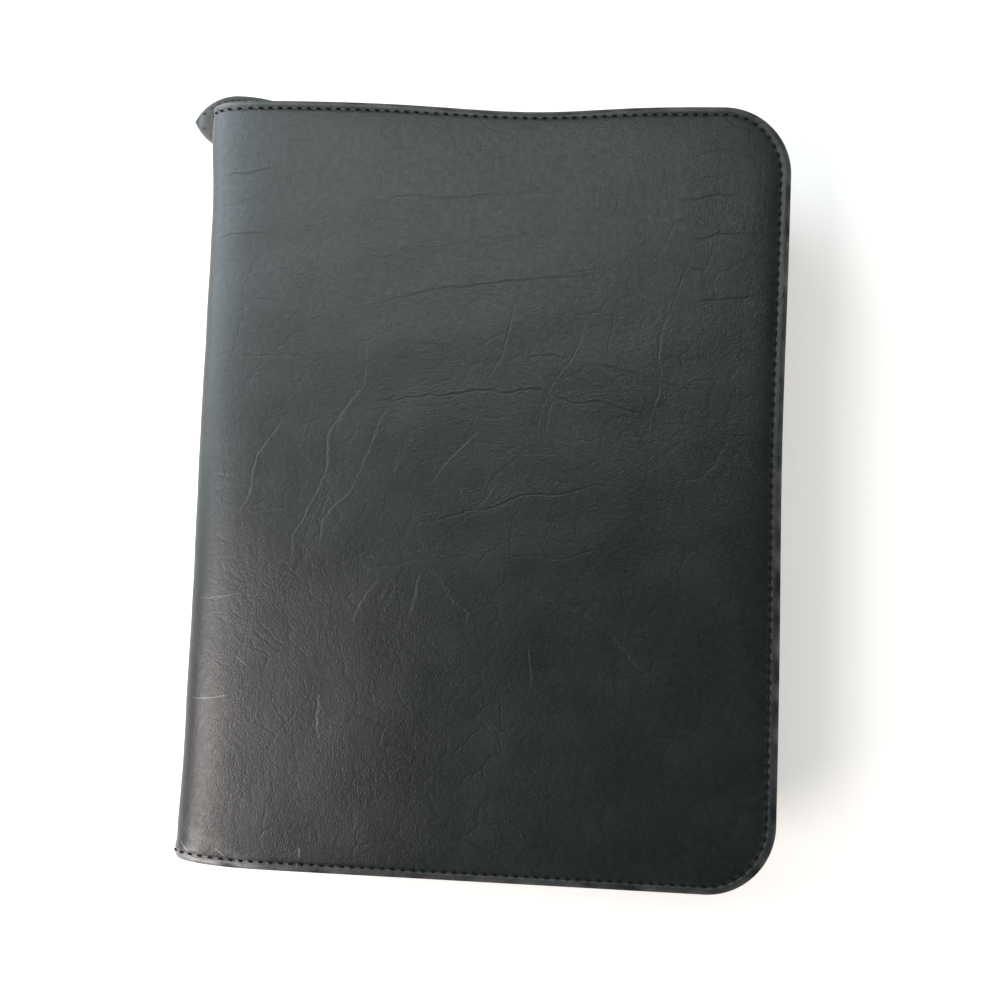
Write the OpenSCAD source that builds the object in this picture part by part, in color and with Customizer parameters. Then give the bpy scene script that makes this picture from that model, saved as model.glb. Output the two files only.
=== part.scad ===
// Zip-round planner cover: a leather wrap over boards, a zip along three sides and a ring mechanism.
// The closed cover lies on its back: X runs from the spine to the zip side, Y along the spine, Z up.

/* [Cover] */
// Width of the closed cover, from the spine to the zip side
cover_w = 200; // [185:1:215]
// Height of the cover, along the spine
cover_h = 262; // [250:1:280]
// Thickness of the closed cover
cover_t = 46; // [44:0.5:56]
// Radius of the two corners on the zip side
corner_r = 23; // [19:0.5:28]
// Outer radius of the leather at the two folds beside the spine
fold_r = 8.5; // [7.5:0.1:9.5]
// Slit between the two leather pieces that meet at a fold
fold_gap = 0.3; // [0.2:0.05:0.6]

/* [Layers] */
// Thickness of the outer leather
leather_t = 1.3; // [1:0.1:1.6]
// Thickness of the foam, which is also how far the stitched border lies below the padded field
foam_t = 1.2; // [0.8:0.1:1.5]
// Thickness of the stiffener boards
board_t = 2; // [1.5:0.1:2.4]
// Thickness of the lining
lining_t = 0.7; // [0.5:0.05:0.9]
// Distance from the cut edge to the line of stitches
stitch_inset = 2.6; // [2:0.1:3.5]
// Width over which the padding rises inside the stitches
puff_w = 9; // [6:0.5:12]
// Chamfer along the cut edge of the leather
edge_chamfer = 0.4; // [0.2:0.05:0.6]
// Room between the foam and the leather over it
layer_gap = 0.1; // [0.05:0.05:0.2]
// Distance from the start of a fold to the boards and linings
board_setback = 1; // [0.5:0.1:2]

/* [Zip] */
// Thickness of the zip tape
tape_t = 0.8; // [0.6:0.05:1]
// Distance from the cut edge of the leather to the outer face of the zip tape
wall_inset = 3.5; // [3:0.1:4.5]
// Width of the tape that is sewn under the leather border
tape_hem = 3.2; // [2.4:0.1:3.4]
// Distance between the edges of the two tapes, where the teeth mesh
tape_gap = 1.6; // [1.3:0.1:2]
// Distance from the spine to the ends of the tapes
tape_start = 11; // [10:0.5:16]
// Clearance between the tape and the boards and linings inside it
seat_gap = 0.3; // [0.2:0.05:0.5]
// Distance between the teeth of one row
tooth_pitch = 3; // [2.8:0.05:4]
// Width of a tooth along the zip
tooth_w = 1.2; // [0.9:0.05:1.2]
// Thickness of a tooth across the tape
tooth_t = 2.6; // [2.2:0.1:3]
// Clearance between a tooth's head and the edge of the tape opposite
head_clear = 0.1; // [0.05:0.05:0.3]
// Length of a tooth's legs on the tape
tooth_leg = 2; // [1.6:0.1:2.2]
// Chamfer on a tooth's head
tooth_chamfer = 0.4; // [0.2:0.05:0.5]
// Clearance between a tooth's legs and the tape
tooth_clear = 0.05; // [0.03:0.01:0.1]
// Distance from the spine to the first tooth on the tail's side
chain_start = 56; // [50:1:66]
// Distance from the spine to the middle of the parked slider
slider_start = 30; // [28:0.5:40]
// Width of a stop along the zip
stop_w = 1.8; // [1.4:0.1:2.2]
// Clearance of a stop from the slider and from the stop opposite
stop_gap = 0.4; // [0.3:0.05:0.6]

/* [Slider and pull] */
// Length of the slider along the zip
slider_l = 12; // [11:0.5:14]
// Height of the slider across the zip at its wide end
slider_h = 9.6; // [9.2:0.1:11]
// Thickness of each of the slider's two plates
slider_plate_t = 1; // [0.8:0.1:1.4]
// Clearance between the slider's plates and the teeth
slider_clear = 0.3; // [0.2:0.05:0.4]
// Width of the slider's inturned flanges
flange_w = 0.9; // [0.7:0.05:1]
// Slit between the flanges that the tape passes through
flange_slit = 1.4; // [1.2:0.05:1.6]
// Bevel of the slider's leading corners
slider_taper = 1.6; // [1:0.1:2]
// Length of the post that parts the two rows
post_l = 3.2; // [2.8:0.1:3.6]
// Clearance between the slider's post and the edges of the tapes
post_clear = 0.1; // [0.05:0.05:0.2]
// Distance from the slider's leading end to the post
post_start = 0.6; // [0.4:0.1:1]
// Length of the bridge that holds the pull
bridge_l = 6.8; // [6:0.1:7.4]
// Width of the bridge
bridge_w = 2.4; // [1.8:0.1:3]
// Thickness of the bridge
bridge_t = 0.9; // [0.7:0.05:1.2]
// Thickness of the pull
pull_t = 1.2; // [1:0.05:1.4]
// Length of the pull from its pivot to its round end
pull_l = 26; // [22:0.5:28]
// Width of the pull at its round end
pull_w = 7.2; // [6.4:0.1:8]
// Running clearance of the pull under and beside the bridge
pull_clear = 0.25; // [0.2:0.05:0.4]
// Room between the bridge and the pull's plate as the pull swings
pull_room = 0.6; // [0.4:0.1:1]
// Width of the pull's two arms
arm_w = 1.2; // [1:0.05:1.4]
// Radius of the eye in the pull's round end
pull_eye_r = 1.5; // [1.2:0.1:2]

/* [Zip tail] */
// Width of the tail's tape
tail_w = 14; // [12:0.5:16]
// Thickness of the tail's tape
tail_t = 1; // [0.8:0.1:1.2]
// Length of the tab's pointed end, up to where the tab is widest
tab_tip_l = 17; // [15:0.5:20]
// Width of the tab
tab_w = 22; // [20:0.5:24]
// Thickness of each of the tab's two leather leaves
tab_leaf_t = 1.2; // [1:0.1:1.5]
// Distance from the tab's tip to the outer face of the spine
tab_reach = 24.5; // [22:0.1:30]
// Distance from the top edge of the cover to the tab's middle line
tab_offset = 13.7; // [13:0.1:17]
// Distance from the tab's widest place to the end where the tail goes in
tab_back_l = 20; // [16:0.5:24]
// Length at which the arcs of the tab's far end would run to a point
tab_back_reach = 34; // [28:1:40]
// Height of the tab above the table
tab_z = 0.1; // [0.05:0.05:0.3]
// Room between the tail and what it is sewn to
tail_gap = 0.1; // [0.05:0.05:0.2]
// Length of the tail held between the tab's leaves
tail_in = 6; // [4:0.5:8]
// Length of the tail sewn to the zip wall
tail_sewn = 12; // [8:0.5:14]

/* [Rings] */
// Number of rings
ring_count = 7; // [5:1:7]
// Distance between the rings
ring_pitch = 30; // [24:0.5:32]
// Radius of a ring, to the middle of its wire
ring_r = 12.7; // [11.5:0.1:13]
// Diameter of the ring wire
wire_d = 2.6; // [2.2:0.1:3]
// Gap between the tips of a closed ring
tip_gap = 0.2; // [0.1:0.05:0.3]
// Distance from the middle of the last ring to the end of the arched cover plate
plate_end = 12; // [9:0.5:17]
// Width of the arched cover plate
plate_w = 23; // [22:0.5:25]
// Height of the arched cover plate
plate_h = 6.6; // [6.2:0.1:7.5]
// Thickness of the cover plate's metal
plate_t = 0.9; // [0.7:0.05:1.1]
// Thickness of the cover plate's inturned lips
lip_t = 0.8; // [0.6:0.05:0.85]
// Width of the cover plate's inturned lips
lip_w = 3; // [2.4:0.1:3.4]
// Distance from the middle to the inner ends of the ring slots
slot_in = 2.8; // [2.5:0.1:3.2]
// Height at which the ring slots begin
slot_x = 1.4; // [1.1:0.05:1.6]
// Length of a ring slot beyond the wire's diameter
slot_room = 1.8; // [1.2:0.1:2.4]
// Thickness of the ears that hold a trigger's pin
ear_t = 1.1; // [0.9:0.05:1.3]
// Length of the ears beyond the cover plate
ear_l = 6; // [5.5:0.1:6.5]
// Height of the ears
ear_h = 4.4; // [4:0.1:4.8]
// Length of the ears inside the cover plate
ear_root = 1; // [0.8:0.1:1.5]
// Thickness of a blade
blade_t = 1; // [0.8:0.05:1.1]
// Distance from the middle to a blade's pivot edge
blade_w = 7.9; // [7.4:0.05:8]
// Gap between the two blades
blade_gap = 0.3; // [0.2:0.05:0.5]
// How far the blades reach past each end of the cover plate
blade_out = 0.8; // [0.5:0.1:1]
// Height of the blades' pivot edges above the spine lining
pivot_h = 1.6; // [1.4:0.05:1.8]
// Distance from the middle to where a ring stands on its blade
ring_root = 6; // [5.5:0.1:6.4]
// Radius of a rivet's shank
rivet_r = 2; // [1.6:0.1:2.2]
// Radius of a rivet's head
rivet_head_r = 3.4; // [3:0.1:3.8]
// Height of a rivet's head
rivet_head_h = 1.3; // [1:0.1:1.5]
// Radius of the flat on a rivet's head
rivet_crown_r = 2.2; // [1.8:0.1:2.6]
// Clearance of a rivet's shank in its holes
rivet_clear = 0.1; // [0.05:0.05:0.2]
// Clearance of the blades round the rivets
notch_clear = 0.6; // [0.5:0.05:0.8]

/* [Triggers] */
// Height of a trigger's finger above its pivot
trigger_h = 13; // [11:0.5:15]
// Width of a trigger's finger
trigger_w = 10; // [8:0.5:14]
// Thickness of a trigger's finger
finger_t = 1.6; // [1.2:0.1:2]
// Radius of a trigger's barrel
barrel_r = 1.5; // [1.3:0.1:1.6]
// Radius of a trigger's pivot pin
trigger_pin_r = 0.7; // [0.6:0.05:0.8]
// Radial clearance of the pivot pin in the ears
pin_clear = 0.1; // [0.05:0.05:0.15]
// Reach of a trigger's tongue under the blades
tongue_l = 3.8; // [3.4:0.1:4]
// Width of a trigger's tongue
tongue_w = 3; // [2.4:0.1:3.4]
// Thickness of a trigger's tongue
tongue_t = 0.6; // [0.5:0.05:0.65]
// Height of a trigger's tongue above the spine lining
tongue_floor = 0.2; // [0.15:0.05:0.25]
// Height of a trigger's pivot above the spine lining
trigger_x = 2.2; // [2.1:0.05:2.4]
// Distance from the end of the cover plate to a trigger's pivot
trigger_out = 3; // [2.9:0.05:3.2]
// How far the end of a trigger's finger leans out
finger_lean = 3; // [2:0.1:4]

/* [Pockets] */
// Thickness of the pocket sheets
pocket_t = 0.8; // [0.6:0.05:1]
// Distance from the spine to the pockets
pocket_start = 48; // [44:1:60]
// Distance from the zip wall to the pockets
pocket_margin = 8; // [6:0.5:12]
// Height of the slip pockets, above the bottom edge of the lining
slip_h = 150; // [120:1:180]
// Drop of a slip pocket's slanted mouth
slip_slant = 30; // [0:1:40]
// Width of a card pocket
card_w = 98; // [92:1:104]
// Height of the lowest card pocket
card_h = 44; // [38:1:50]
// Step from one card pocket's mouth to the next
card_step = 18; // [14:1:20]
// Inner radius of the pen loop
pen_r = 6.2; // [5:0.1:6.6]
// Length of the pen loop
pen_l = 26; // [20:1:40]
// Width of the strip that holds the pen loop to the lining
pen_strip_w = 18; // [17:0.5:20]
// Thickness of the pen loop's elastic
pen_t = 0.8; // [0.6:0.05:1]
// Thickness of the pen loop's strip
pen_strip_t = 0.6; // [0.4:0.05:0.8]
// Distance from the pen loop's strip to the zip wall
pen_margin = 1; // [0.5:0.1:2]

/* [Hidden] */
$fn = 64;
x_spine = -cover_w / 2;
x_edge = cover_w / 2;
y_edge = cover_h / 2;
z_mid = cover_t / 2;
x_corner = x_edge - corner_r;
y_corner = y_edge - corner_r;
board_depth = leather_t + foam_t;
lining_depth = board_depth + board_t;
inner_depth = lining_depth + lining_t;
board_start = fold_r + board_setback;
x_board = x_spine + board_depth;
x_liner = x_board + board_t + lining_t;
spine_board_h = cover_t - 2 * board_start;
split_angle = fold_gap / 2 / fold_r * 180 / PI;
wall_inner = wall_inset + tape_t;
wall_middle = wall_inset + tape_t / 2;
panel_inset = wall_inner + seat_gap;
y_panel = y_edge - panel_inset;
y_wall = y_edge - wall_middle;
tape_edge = tape_gap / 2;
tooth_head = tape_gap - head_clear;
post_w = tape_gap - 2 * post_clear;
puff_steps = 6;

// Zip path, measured along the middle of the tapes from the tail to the parked slider
slider_front = slider_l / 2;
chain_end = slider_start - slider_front + post_start + post_l + tooth_w;
top_run = cover_w - corner_r - chain_start;
turn_r = corner_r - wall_middle;
turn_run = PI / 2 * turn_r;
side_run = cover_h - 2 * corner_r;
bottom_run = cover_w - corner_r - chain_end;
chain_run = top_run + side_run + bottom_run + 2 * turn_run;
tooth_count = floor(chain_run / tooth_pitch);

// Slider, in its own place on the lower wall
x_slider = x_spine + slider_start;
channel = tooth_t / 2 + slider_clear;
plate_outer = channel + slider_plate_t;
slider_half = slider_h / 2;
slider_narrow = slider_half - flange_w;
pull_pin_r = pull_t / 2;
pull_pivot = plate_outer + pull_clear + pull_pin_r;
bridge_room = 2 * (pull_clear + pull_pin_r);
bridge_top = plate_outer + bridge_room + bridge_t;
arm_in = bridge_w / 2 + pull_clear;
loop_end = norm([bridge_l / 2, bridge_top - pull_pivot]) + pull_clear + pull_room;
pull_end_r = pull_w / 2;

// Tail and tab, which lie on the table beside the top edge
tail_z = tab_z + tab_leaf_t + tail_gap;
x_tab_wide = x_spine - tab_reach + tab_tip_l;
x_tab_end = x_tab_wide + tab_back_l;
y_tab = y_edge + tab_offset;
tab_tip_r = (pow(tab_tip_l, 2) + pow(tab_w / 2, 2)) / tab_w;
tab_back_r = (pow(tab_back_reach, 2) + pow(tab_w / 2, 2)) / tab_w;
tail_rings = 22;
y_tail_wall = y_edge - wall_inset + tail_gap + tail_t / 2;

// Ring mechanism, in a frame on the spine lining with X away from the spine
plate_l = (ring_count - 1) * ring_pitch + 2 * plate_end;
arch_r = (pow(plate_w / 2, 2) + pow(plate_h, 2)) / (2 * plate_h);
arch_x = plate_h - arch_r;
blade_top = pivot_h + blade_t / 2;
blade_l = plate_l + 2 * blade_out;
ring_x = blade_top + sqrt(pow(ring_r, 2) - pow(ring_root, 2));
slot_l = wire_d + slot_room;
rivet_y = (ring_count / 2 - 1) * ring_pitch;
trigger_y = plate_l / 2 + trigger_out;
tongue_drop = trigger_x - tongue_floor;
finger_root = 0.8 * barrel_r;

// Pockets and pen loop
pocket_w = cover_w - pocket_start - panel_inset - pocket_margin;
y_pocket = -y_panel + pocket_margin;
x_pocket = x_spine + pocket_start;
card_x = x_pocket + (pocket_w - card_w) / 2;
x_pen = x_edge - panel_inset - pen_strip_w / 2 - pen_margin;
pocket_back_w = pocket_w - pen_strip_w;

leather_colour = [0.13, 0.14, 0.14];
cloth_colour = [0.2, 0.2, 0.21];
metal_colour = [0.72, 0.72, 0.74];

// Depth of the leather's outer face below the padded field, at a distance in from the cut edge
function ease(u) = u * u * (3 - 2 * u);
function border_depth(s) = foam_t * (1 - ease(min(1, max(0, (s - stitch_inset) / puff_w))));

// Insets at which the border's profile has a point, from the stitches to the field
puff_insets = [for (i = [0 : puff_steps]) stitch_inset + puff_w * i / puff_steps];
function reversed(list) = [for (i = [len(list) - 1 : -1 : 0]) list[i]];

// Leather profile as points of inset and height, from the cut edge to a corner's centre
skin_outer = [
    [0, -foam_t - edge_chamfer], [edge_chamfer, -foam_t],
    for (s = puff_insets) [s, -border_depth(s)],
    [corner_r, 0]
];
skin_inner = [
    [0, -foam_t - leather_t],
    for (s = puff_insets) [s, -border_depth(s) - leather_t],
    [corner_r, -leather_t]
];

// What the slope of the border takes off the foam's edge
foam_cut = concat(
    [for (s = puff_insets) [s, -border_depth(s) - leather_t - layer_gap]],
    [[stitch_inset + puff_w, 0], [0, 0], [0, -board_depth - layer_gap]]);

// Section across the whole height of the cover, between an outer and an inner profile
function across(points) = concat(
    [for (p = points) [p[0] - y_edge, p[1]]], [for (p = reversed(points)) [y_edge - p[0], p[1]]]);
function section(outer, inner) = concat(across(outer), reversed(across(inner)));

// L-shaped tape: the hem under the leather border, and the wall down to the teeth
tape_drop = z_mid - tape_edge;
tape_profile = [
    [wall_inner - tape_hem - tape_t, -board_depth], [wall_inner, -board_depth], [wall_inner, -tape_drop],
    [wall_inset, -tape_drop], [wall_inset, -board_depth - tape_t],
    [wall_inner - tape_hem - tape_t, -board_depth - tape_t]
];

// Extrudes an outline in Y and Z along X
module along_x(from, to, outline) {
    translate([from, 0, 0]) rotate([90, 0, 90]) linear_extrude(to - from) polygon(outline);
}

// Carries a profile of inset and height round the two corners and along the side between them
module rim_end(profile) {
    for (side = [0, 1]) mirror([0, side, 0])
        translate([x_corner, y_corner, 0]) rotate_extrude(angle = 90)
            polygon([for (p = profile) [corner_r - p[0], p[1]]]);
    translate([0, y_corner, 0]) rotate([90, 0, 0]) linear_extrude(2 * y_corner)
        polygon([for (p = profile) [x_edge - p[0], p[1]]]);
}

// Carries a profile along all three zipped sides, as a wall open towards the spine
module rim_wall(profile, start) {
    for (side = [0, 1]) mirror([0, side, 0])
        along_x(x_spine + start, x_corner, [for (p = profile) [y_edge - p[0], p[1]]]);
    rim_end(profile);
}

// Whole panel between an outer and an inner profile
module panel(outer, inner, start) {
    along_x(x_spine + start, x_corner, section(outer, inner));
    rim_end(concat(outer, reversed(inner)));
}

// Half of a fold's leather, from a flat stretch to the slit, with the fold's sharp corner at the origin
module half_fold() {
    translate([fold_r, 0, -fold_r]) rotate([90, 0, 0]) rotate([0, 0, 90])
        rotate_extrude(angle = 45 - split_angle)
            polygon([for (p = section(skin_outer, skin_inner)) [fold_r + p[1], p[0]]]);
}

// Leather of one cover with its half of the fold, outer face up at zero height
module panel_leather() {
    panel(skin_outer, skin_inner, fold_r);
    translate([x_spine, 0, 0]) half_fold();
}

module panel_foam() {
    difference() {
        panel_plate(leather_t + layer_gap, foam_t - layer_gap);
        rim_wall(foam_cut, 0);
    }
}

// Flat layer inside the zip wall, with the cover's two round corners
module panel_plate(depth, thickness) {
    translate([0, 0, -depth - thickness]) {
        translate([x_spine + board_start, -y_panel, 0])
            cube([cover_w - corner_r - board_start, 2 * y_panel, thickness]);
        translate([x_corner, -y_corner, 0]) cube([corner_r - panel_inset, 2 * y_corner, thickness]);
        for (side = [-1, 1]) translate([x_corner, side * y_corner, 0])
            cylinder(r = corner_r - panel_inset, h = thickness);
    }
}

module on_front() {
    translate([0, 0, cover_t]) children();
}

module on_back() {
    mirror([0, 0, 1]) children();
}

// Place and direction on the zip path at a distance from its start
function zip_place(d) =
    d < top_run ? [x_spine + chain_start + d, y_wall, 0]
    : d < top_run + turn_run ? zip_turn(90 * (d - top_run) / turn_run, 1)
    : d < top_run + turn_run + side_run ? [x_corner + turn_r, y_corner - (d - top_run - turn_run), -90]
    : d < top_run + 2 * turn_run + side_run
        ? zip_turn(180 - 90 * (d - top_run - turn_run - side_run) / turn_run - 90, -1)
    : [x_corner - (d - top_run - 2 * turn_run - side_run), -y_wall, -180];

// Point of a corner's turn at an angle from the straight run beside it
function zip_turn(angle, side) = [
    x_corner + turn_r * sin(angle),
    side * (y_corner + turn_r * cos(angle)),
    side > 0 ? -angle : angle - 180
];

// Metal clip on the lower edge of a tape, with legs on both sides and a head that reaches past the edge
module tape_clip(head, width) {
    slot = tape_t / 2 + tooth_clear;
    half = tooth_t / 2;
    rotate([90, 0, 90]) linear_extrude(width, center = true) polygon([
        [-half, tooth_chamfer - head], [tooth_chamfer - half, -head],
        [half - tooth_chamfer, -head], [half, tooth_chamfer - head],
        [half, tooth_leg], [slot, tooth_leg], [slot, -tooth_clear],
        [-slot, -tooth_clear], [-slot, tooth_leg], [-half, tooth_leg]
    ]);
}

module at_zip(d) {
    place = zip_place(d);
    translate([place[0], place[1], 0]) rotate([0, 0, place[2]]) children();
}

// One row of teeth, with its first tooth at a share of the pitch
module tooth_row(shift) {
    for (i = [0 : tooth_count - 1]) at_zip((i + shift) * tooth_pitch)
        translate([0, 0, tape_edge]) tape_clip(tooth_head, tooth_w);
}

// Stops that keep the slider on the tape: one before the first tooth and one ahead of the parked slider
module row_stops() {
    head = tape_edge - stop_gap / 2;
    x_first = x_spine + chain_start - tooth_pitch;
    x_last = x_slider - slider_front - stop_gap - stop_w / 2;
    for (place = [[x_first, y_wall], [x_last, -y_wall]])
        translate([place[0], place[1], tape_edge]) tape_clip(head, stop_w);
}

module upper_row() {
    translate([0, 0, z_mid]) children();
}

module lower_row() {
    translate([0, 0, z_mid]) mirror([0, 0, 1]) children();
}

module front_leather() {
    color(leather_colour) on_front() panel_leather();
}

module front_padding() {
    color("gainsboro") on_front() panel_foam();
}

module front_board() {
    color("tan") on_front() panel_plate(board_depth, board_t);
}

module front_lining() {
    color(cloth_colour) on_front() panel_plate(lining_depth, lining_t);
}

module front_zip_tape() {
    color(cloth_colour) on_front() rim_wall(tape_profile, tape_start);
}

module front_zip_teeth() {
    color(metal_colour) upper_row() tooth_row(0.25);
}

module front_zip_stops() {
    color(metal_colour) upper_row() row_stops();
}

module back_leather() {
    color(leather_colour) on_back() panel_leather();
}

module back_padding() {
    color("gainsboro") on_back() panel_foam();
}

module back_board() {
    color("tan") on_back() panel_plate(board_depth, board_t);
}

module back_lining() {
    color(cloth_colour) on_back() panel_plate(lining_depth, lining_t);
}

module back_zip_tape() {
    color(cloth_colour) on_back() rim_wall(tape_profile, tape_start);
}

module back_zip_teeth() {
    color(metal_colour) lower_row() tooth_row(0.75);
}

module back_zip_stops() {
    color(metal_colour) lower_row() row_stops();
}

// Frame on the spine's outer face, with X down the spine and Z out of it
module on_spine() {
    translate([x_spine, 0, z_mid]) rotate([0, -90, 0]) children();
}

// Leather over the spine, with its halves of the two folds
module spine_leather() {
    color(leather_colour) on_spine() {
        along_x(fold_r - z_mid, z_mid - fold_r, section(skin_outer, skin_inner));
        for (side = [0, 1]) mirror([side, 0, 0]) translate([-z_mid, 0, 0]) half_fold();
    }
}

module spine_padding() {
    color("gainsboro") on_spine() difference() {
        translate([-spine_board_h / 2, -y_panel, -board_depth])
            cube([spine_board_h, 2 * y_panel, foam_t - layer_gap]);
        for (side = [0, 1]) mirror([0, side, 0])
            along_x(-spine_board_h, spine_board_h, [for (p = foam_cut) [y_edge - p[0], p[1]]]);
    }
}

// Flat layer on the spine, with the holes that the rivets pass through
module spine_plate(x, thickness) {
    difference() {
        translate([x, -y_panel, z_mid - spine_board_h / 2]) cube([thickness, 2 * y_panel, spine_board_h]);
        rivet_holes(rivet_r + rivet_clear);
    }
}

module rivet_holes(radius) {
    for (side = [-1, 1]) translate([x_board - 1, side * rivet_y, z_mid]) rotate([0, 90, 0])
        cylinder(r = radius, h = plate_h + x_liner - x_board + 2);
}

module spine_board() {
    color("tan") spine_plate(x_board, board_t);
}

module spine_lining() {
    color(cloth_colour) spine_plate(x_board + board_t, lining_t);
}

module at_rings() {
    translate([x_liner, 0, z_mid]) children();
}

// Place of a ring along the spine
function ring_place(i) = (i - (ring_count - 1) / 2) * ring_pitch;

// Round bar along the spine
module spine_bar(radius, length) {
    rotate([90, 0, 0]) cylinder(r = radius, h = length, center = true);
}

// Arched plate with inturned lips under the blades, slots for the rings and ears for the triggers
module ring_cover_plate() {
    color(metal_colour) difference() {
        at_rings() difference() {
            union() {
                intersection() {
                    translate([arch_x, 0, 0]) difference() {
                        spine_bar(arch_r, plate_l);
                        spine_bar(arch_r - plate_t, plate_l + 1);
                    }
                    translate([0, -plate_l / 2, -plate_w]) cube([plate_h + 1, plate_l, 2 * plate_w]);
                }
                for (side = [0, 1]) mirror([0, 0, side]) {
                    translate([0, -plate_l / 2, plate_w / 2 - plate_t - lip_w])
                        cube([lip_t, plate_l, lip_w + plate_t / 2]);
                    for (end = [0, 1]) mirror([0, end, 0])
                        translate([0, plate_l / 2 - ear_root, plate_w / 2 - ear_t])
                            cube([ear_h, ear_l + ear_root, ear_t]);
                }
            }
            for (i = [0 : ring_count - 1], side = [0, 1]) mirror([0, 0, side])
                translate([slot_x, ring_place(i) - slot_l / 2, slot_in]) cube([plate_h, slot_l, plate_w]);
            for (end = [-1, 1]) translate([trigger_x, end * trigger_y, 0])
                cylinder(r = trigger_pin_r + pin_clear, h = plate_w + 1, center = true);
        }
        rivet_holes(rivet_r + rivet_clear);
    }
}

module ring_rivets() {
    shank_l = x_liner - x_board + plate_h;
    color(metal_colour) for (side = [-1, 1])
        translate([x_board, side * rivet_y, z_mid]) rotate([0, 90, 0]) {
            cylinder(r = rivet_r, h = shank_l);
            translate([0, 0, shank_l]) cylinder(r1 = rivet_head_r, r2 = rivet_crown_r, h = rivet_head_h);
        }
}

// Flat blade with a round pivot edge, notched round the rivets
module blade() {
    difference() {
        at_rings() translate([pivot_h, 0, 0]) {
            translate([-blade_t / 2, -blade_l / 2, blade_gap / 2])
                cube([blade_t, blade_l, blade_w - blade_gap / 2]);
            translate([0, 0, blade_w]) spine_bar(blade_t / 2, blade_l);
        }
        rivet_holes(rivet_r + notch_clear);
    }
}

// Halves of the rings that stand on one blade, from the blade's face to the tips
module half_rings() {
    at_rings() for (i = [0 : ring_count - 1]) translate([0, ring_place(i), 0])
        intersection() {
            translate([ring_x, 0, 0]) rotate([90, 0, 0]) rotate_extrude()
                translate([ring_r, 0, 0]) circle(d = wire_d);
            translate([blade_top, -wire_d, tip_gap / 2]) cube([2 * ring_x, 2 * wire_d, 2 * ring_r]);
        }
}

// Turns a part of the front half of the rings into its match on the back half
module back_half() {
    translate([0, 0, cover_t]) mirror([0, 0, 1]) children();
}

module front_blade() {
    color(metal_colour) blade();
}

module front_half_rings() {
    color(metal_colour) half_rings();
}

module back_blade() {
    color(metal_colour) back_half() blade();
}

module back_half_rings() {
    color(metal_colour) back_half() half_rings();
}

// Lever with a barrel and pin in the ears, a tongue under the blades and a finger that stands up
module trigger() {
    at_rings() translate([trigger_x, trigger_y, 0]) {
        cylinder(r = barrel_r, h = plate_w - 2 * ear_t - 2 * pin_clear, center = true);
        cylinder(r = trigger_pin_r, h = plate_w - 2 * pin_clear, center = true);
        linear_extrude(tongue_w, center = true) polygon([
            [0, -barrel_r / 2], [-tongue_drop + tongue_t, -barrel_r], [-tongue_drop + tongue_t, -tongue_l],
            [-tongue_drop, -tongue_l], [-tongue_drop, -barrel_r / 2], [-barrel_r / 2, barrel_r / 2]
        ]);
        linear_extrude(trigger_w, center = true) polygon([
            [0, -finger_root], [trigger_h, finger_lean - finger_t],
            [trigger_h + finger_t / 2, finger_lean - finger_t / 2], [trigger_h, finger_lean],
            [0, finger_root]
        ]);
    }
}

module top_trigger() {
    color(metal_colour) trigger();
}

module bottom_trigger() {
    color(metal_colour) mirror([0, 1, 0]) trigger();
}

// Sheet sewn along three sides, with a mouth that slants down away from the spine
module slip_sheet(width) {
    linear_extrude(pocket_t) polygon([
        [x_pocket, y_pocket], [x_pocket + width, y_pocket],
        [x_pocket + width, y_pocket + slip_h - slip_slant], [x_pocket, y_pocket + slip_h]
    ]);
}

module front_slip_pocket() {
    color(leather_colour) translate([0, 0, cover_t - inner_depth - pocket_t]) slip_sheet(pocket_w);
}

// Card pocket sheets share a bottom seam, each one a step shorter and a sheet lower than the one before
module card_sheet(layer) {
    translate([card_x, y_pocket, cover_t - inner_depth - (layer + 1) * pocket_t])
        cube([card_w, card_h + (3 - layer) * card_step, pocket_t]);
}

module upper_card_pocket() {
    color(leather_colour) card_sheet(1);
}

module middle_card_pocket() {
    color(leather_colour) card_sheet(2);
}

module lower_card_pocket() {
    color(leather_colour) card_sheet(3);
}

module back_slip_pocket() {
    color(leather_colour) translate([0, 0, inner_depth]) slip_sheet(pocket_back_w);
}

// Elastic loop on a strip beside the zip wall
module pen_loop() {
    loop_r = pen_r + pen_t;
    color(cloth_colour) translate([x_pen, 0, inner_depth]) {
        translate([-pen_strip_w / 2, -pen_l / 2, 0]) cube([pen_strip_w, pen_l, pen_strip_t]);
        difference() {
            translate([0, 0, loop_r]) spine_bar(loop_r, pen_l);
            translate([0, 0, loop_r]) spine_bar(pen_r, pen_l + 1);
        }
    }
}

// Middle line of the tail, from its sewn end on the wall to its end inside the tab
x_tail_wall = x_spine + chain_start - 2 * tooth_pitch;
x_tail_end = x_tab_end - tail_in;
tail_drop = z_mid - tail_z - tail_t / 2;
function tail_share(t, first, last) = ease(min(1, max(0, (t - first) / (last - first))));
function tail_point(t) = [
    x_tail_wall - (x_tail_wall - x_tail_end) * t,
    y_tail_wall + (y_tab - y_tail_wall) * tail_share(t, tail_sewn / (x_tail_wall - x_tail_end), 0.8),
    z_mid - tail_drop * tail_share(t, 0.35, 0.88)
];
function unit(v) = v / norm(v);

// Corners of the tail's section: the tape turns from upright on the wall to flat in the tab
function tail_corners(t) =
    let (
        ahead = unit(tail_point(t + 0.01) - tail_point(t - 0.01)),
        level = unit([-ahead[1], ahead[0], 0]),
        turn = 90 * tail_share(t, 0.3, 0.85),
        across_tape = unit(cos(turn) * [0, 0, 1] - sin(turn) * level),
        wide = unit(across_tape - (across_tape * ahead) * ahead) * tail_w / 2,
        thick = cross(ahead, wide) / (tail_w / 2) * tail_t / 2
    )
    [for (k = [[1, 1], [-1, 1], [-1, -1], [1, -1]]) tail_point(t) + k[0] * wide + k[1] * thick];

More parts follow.
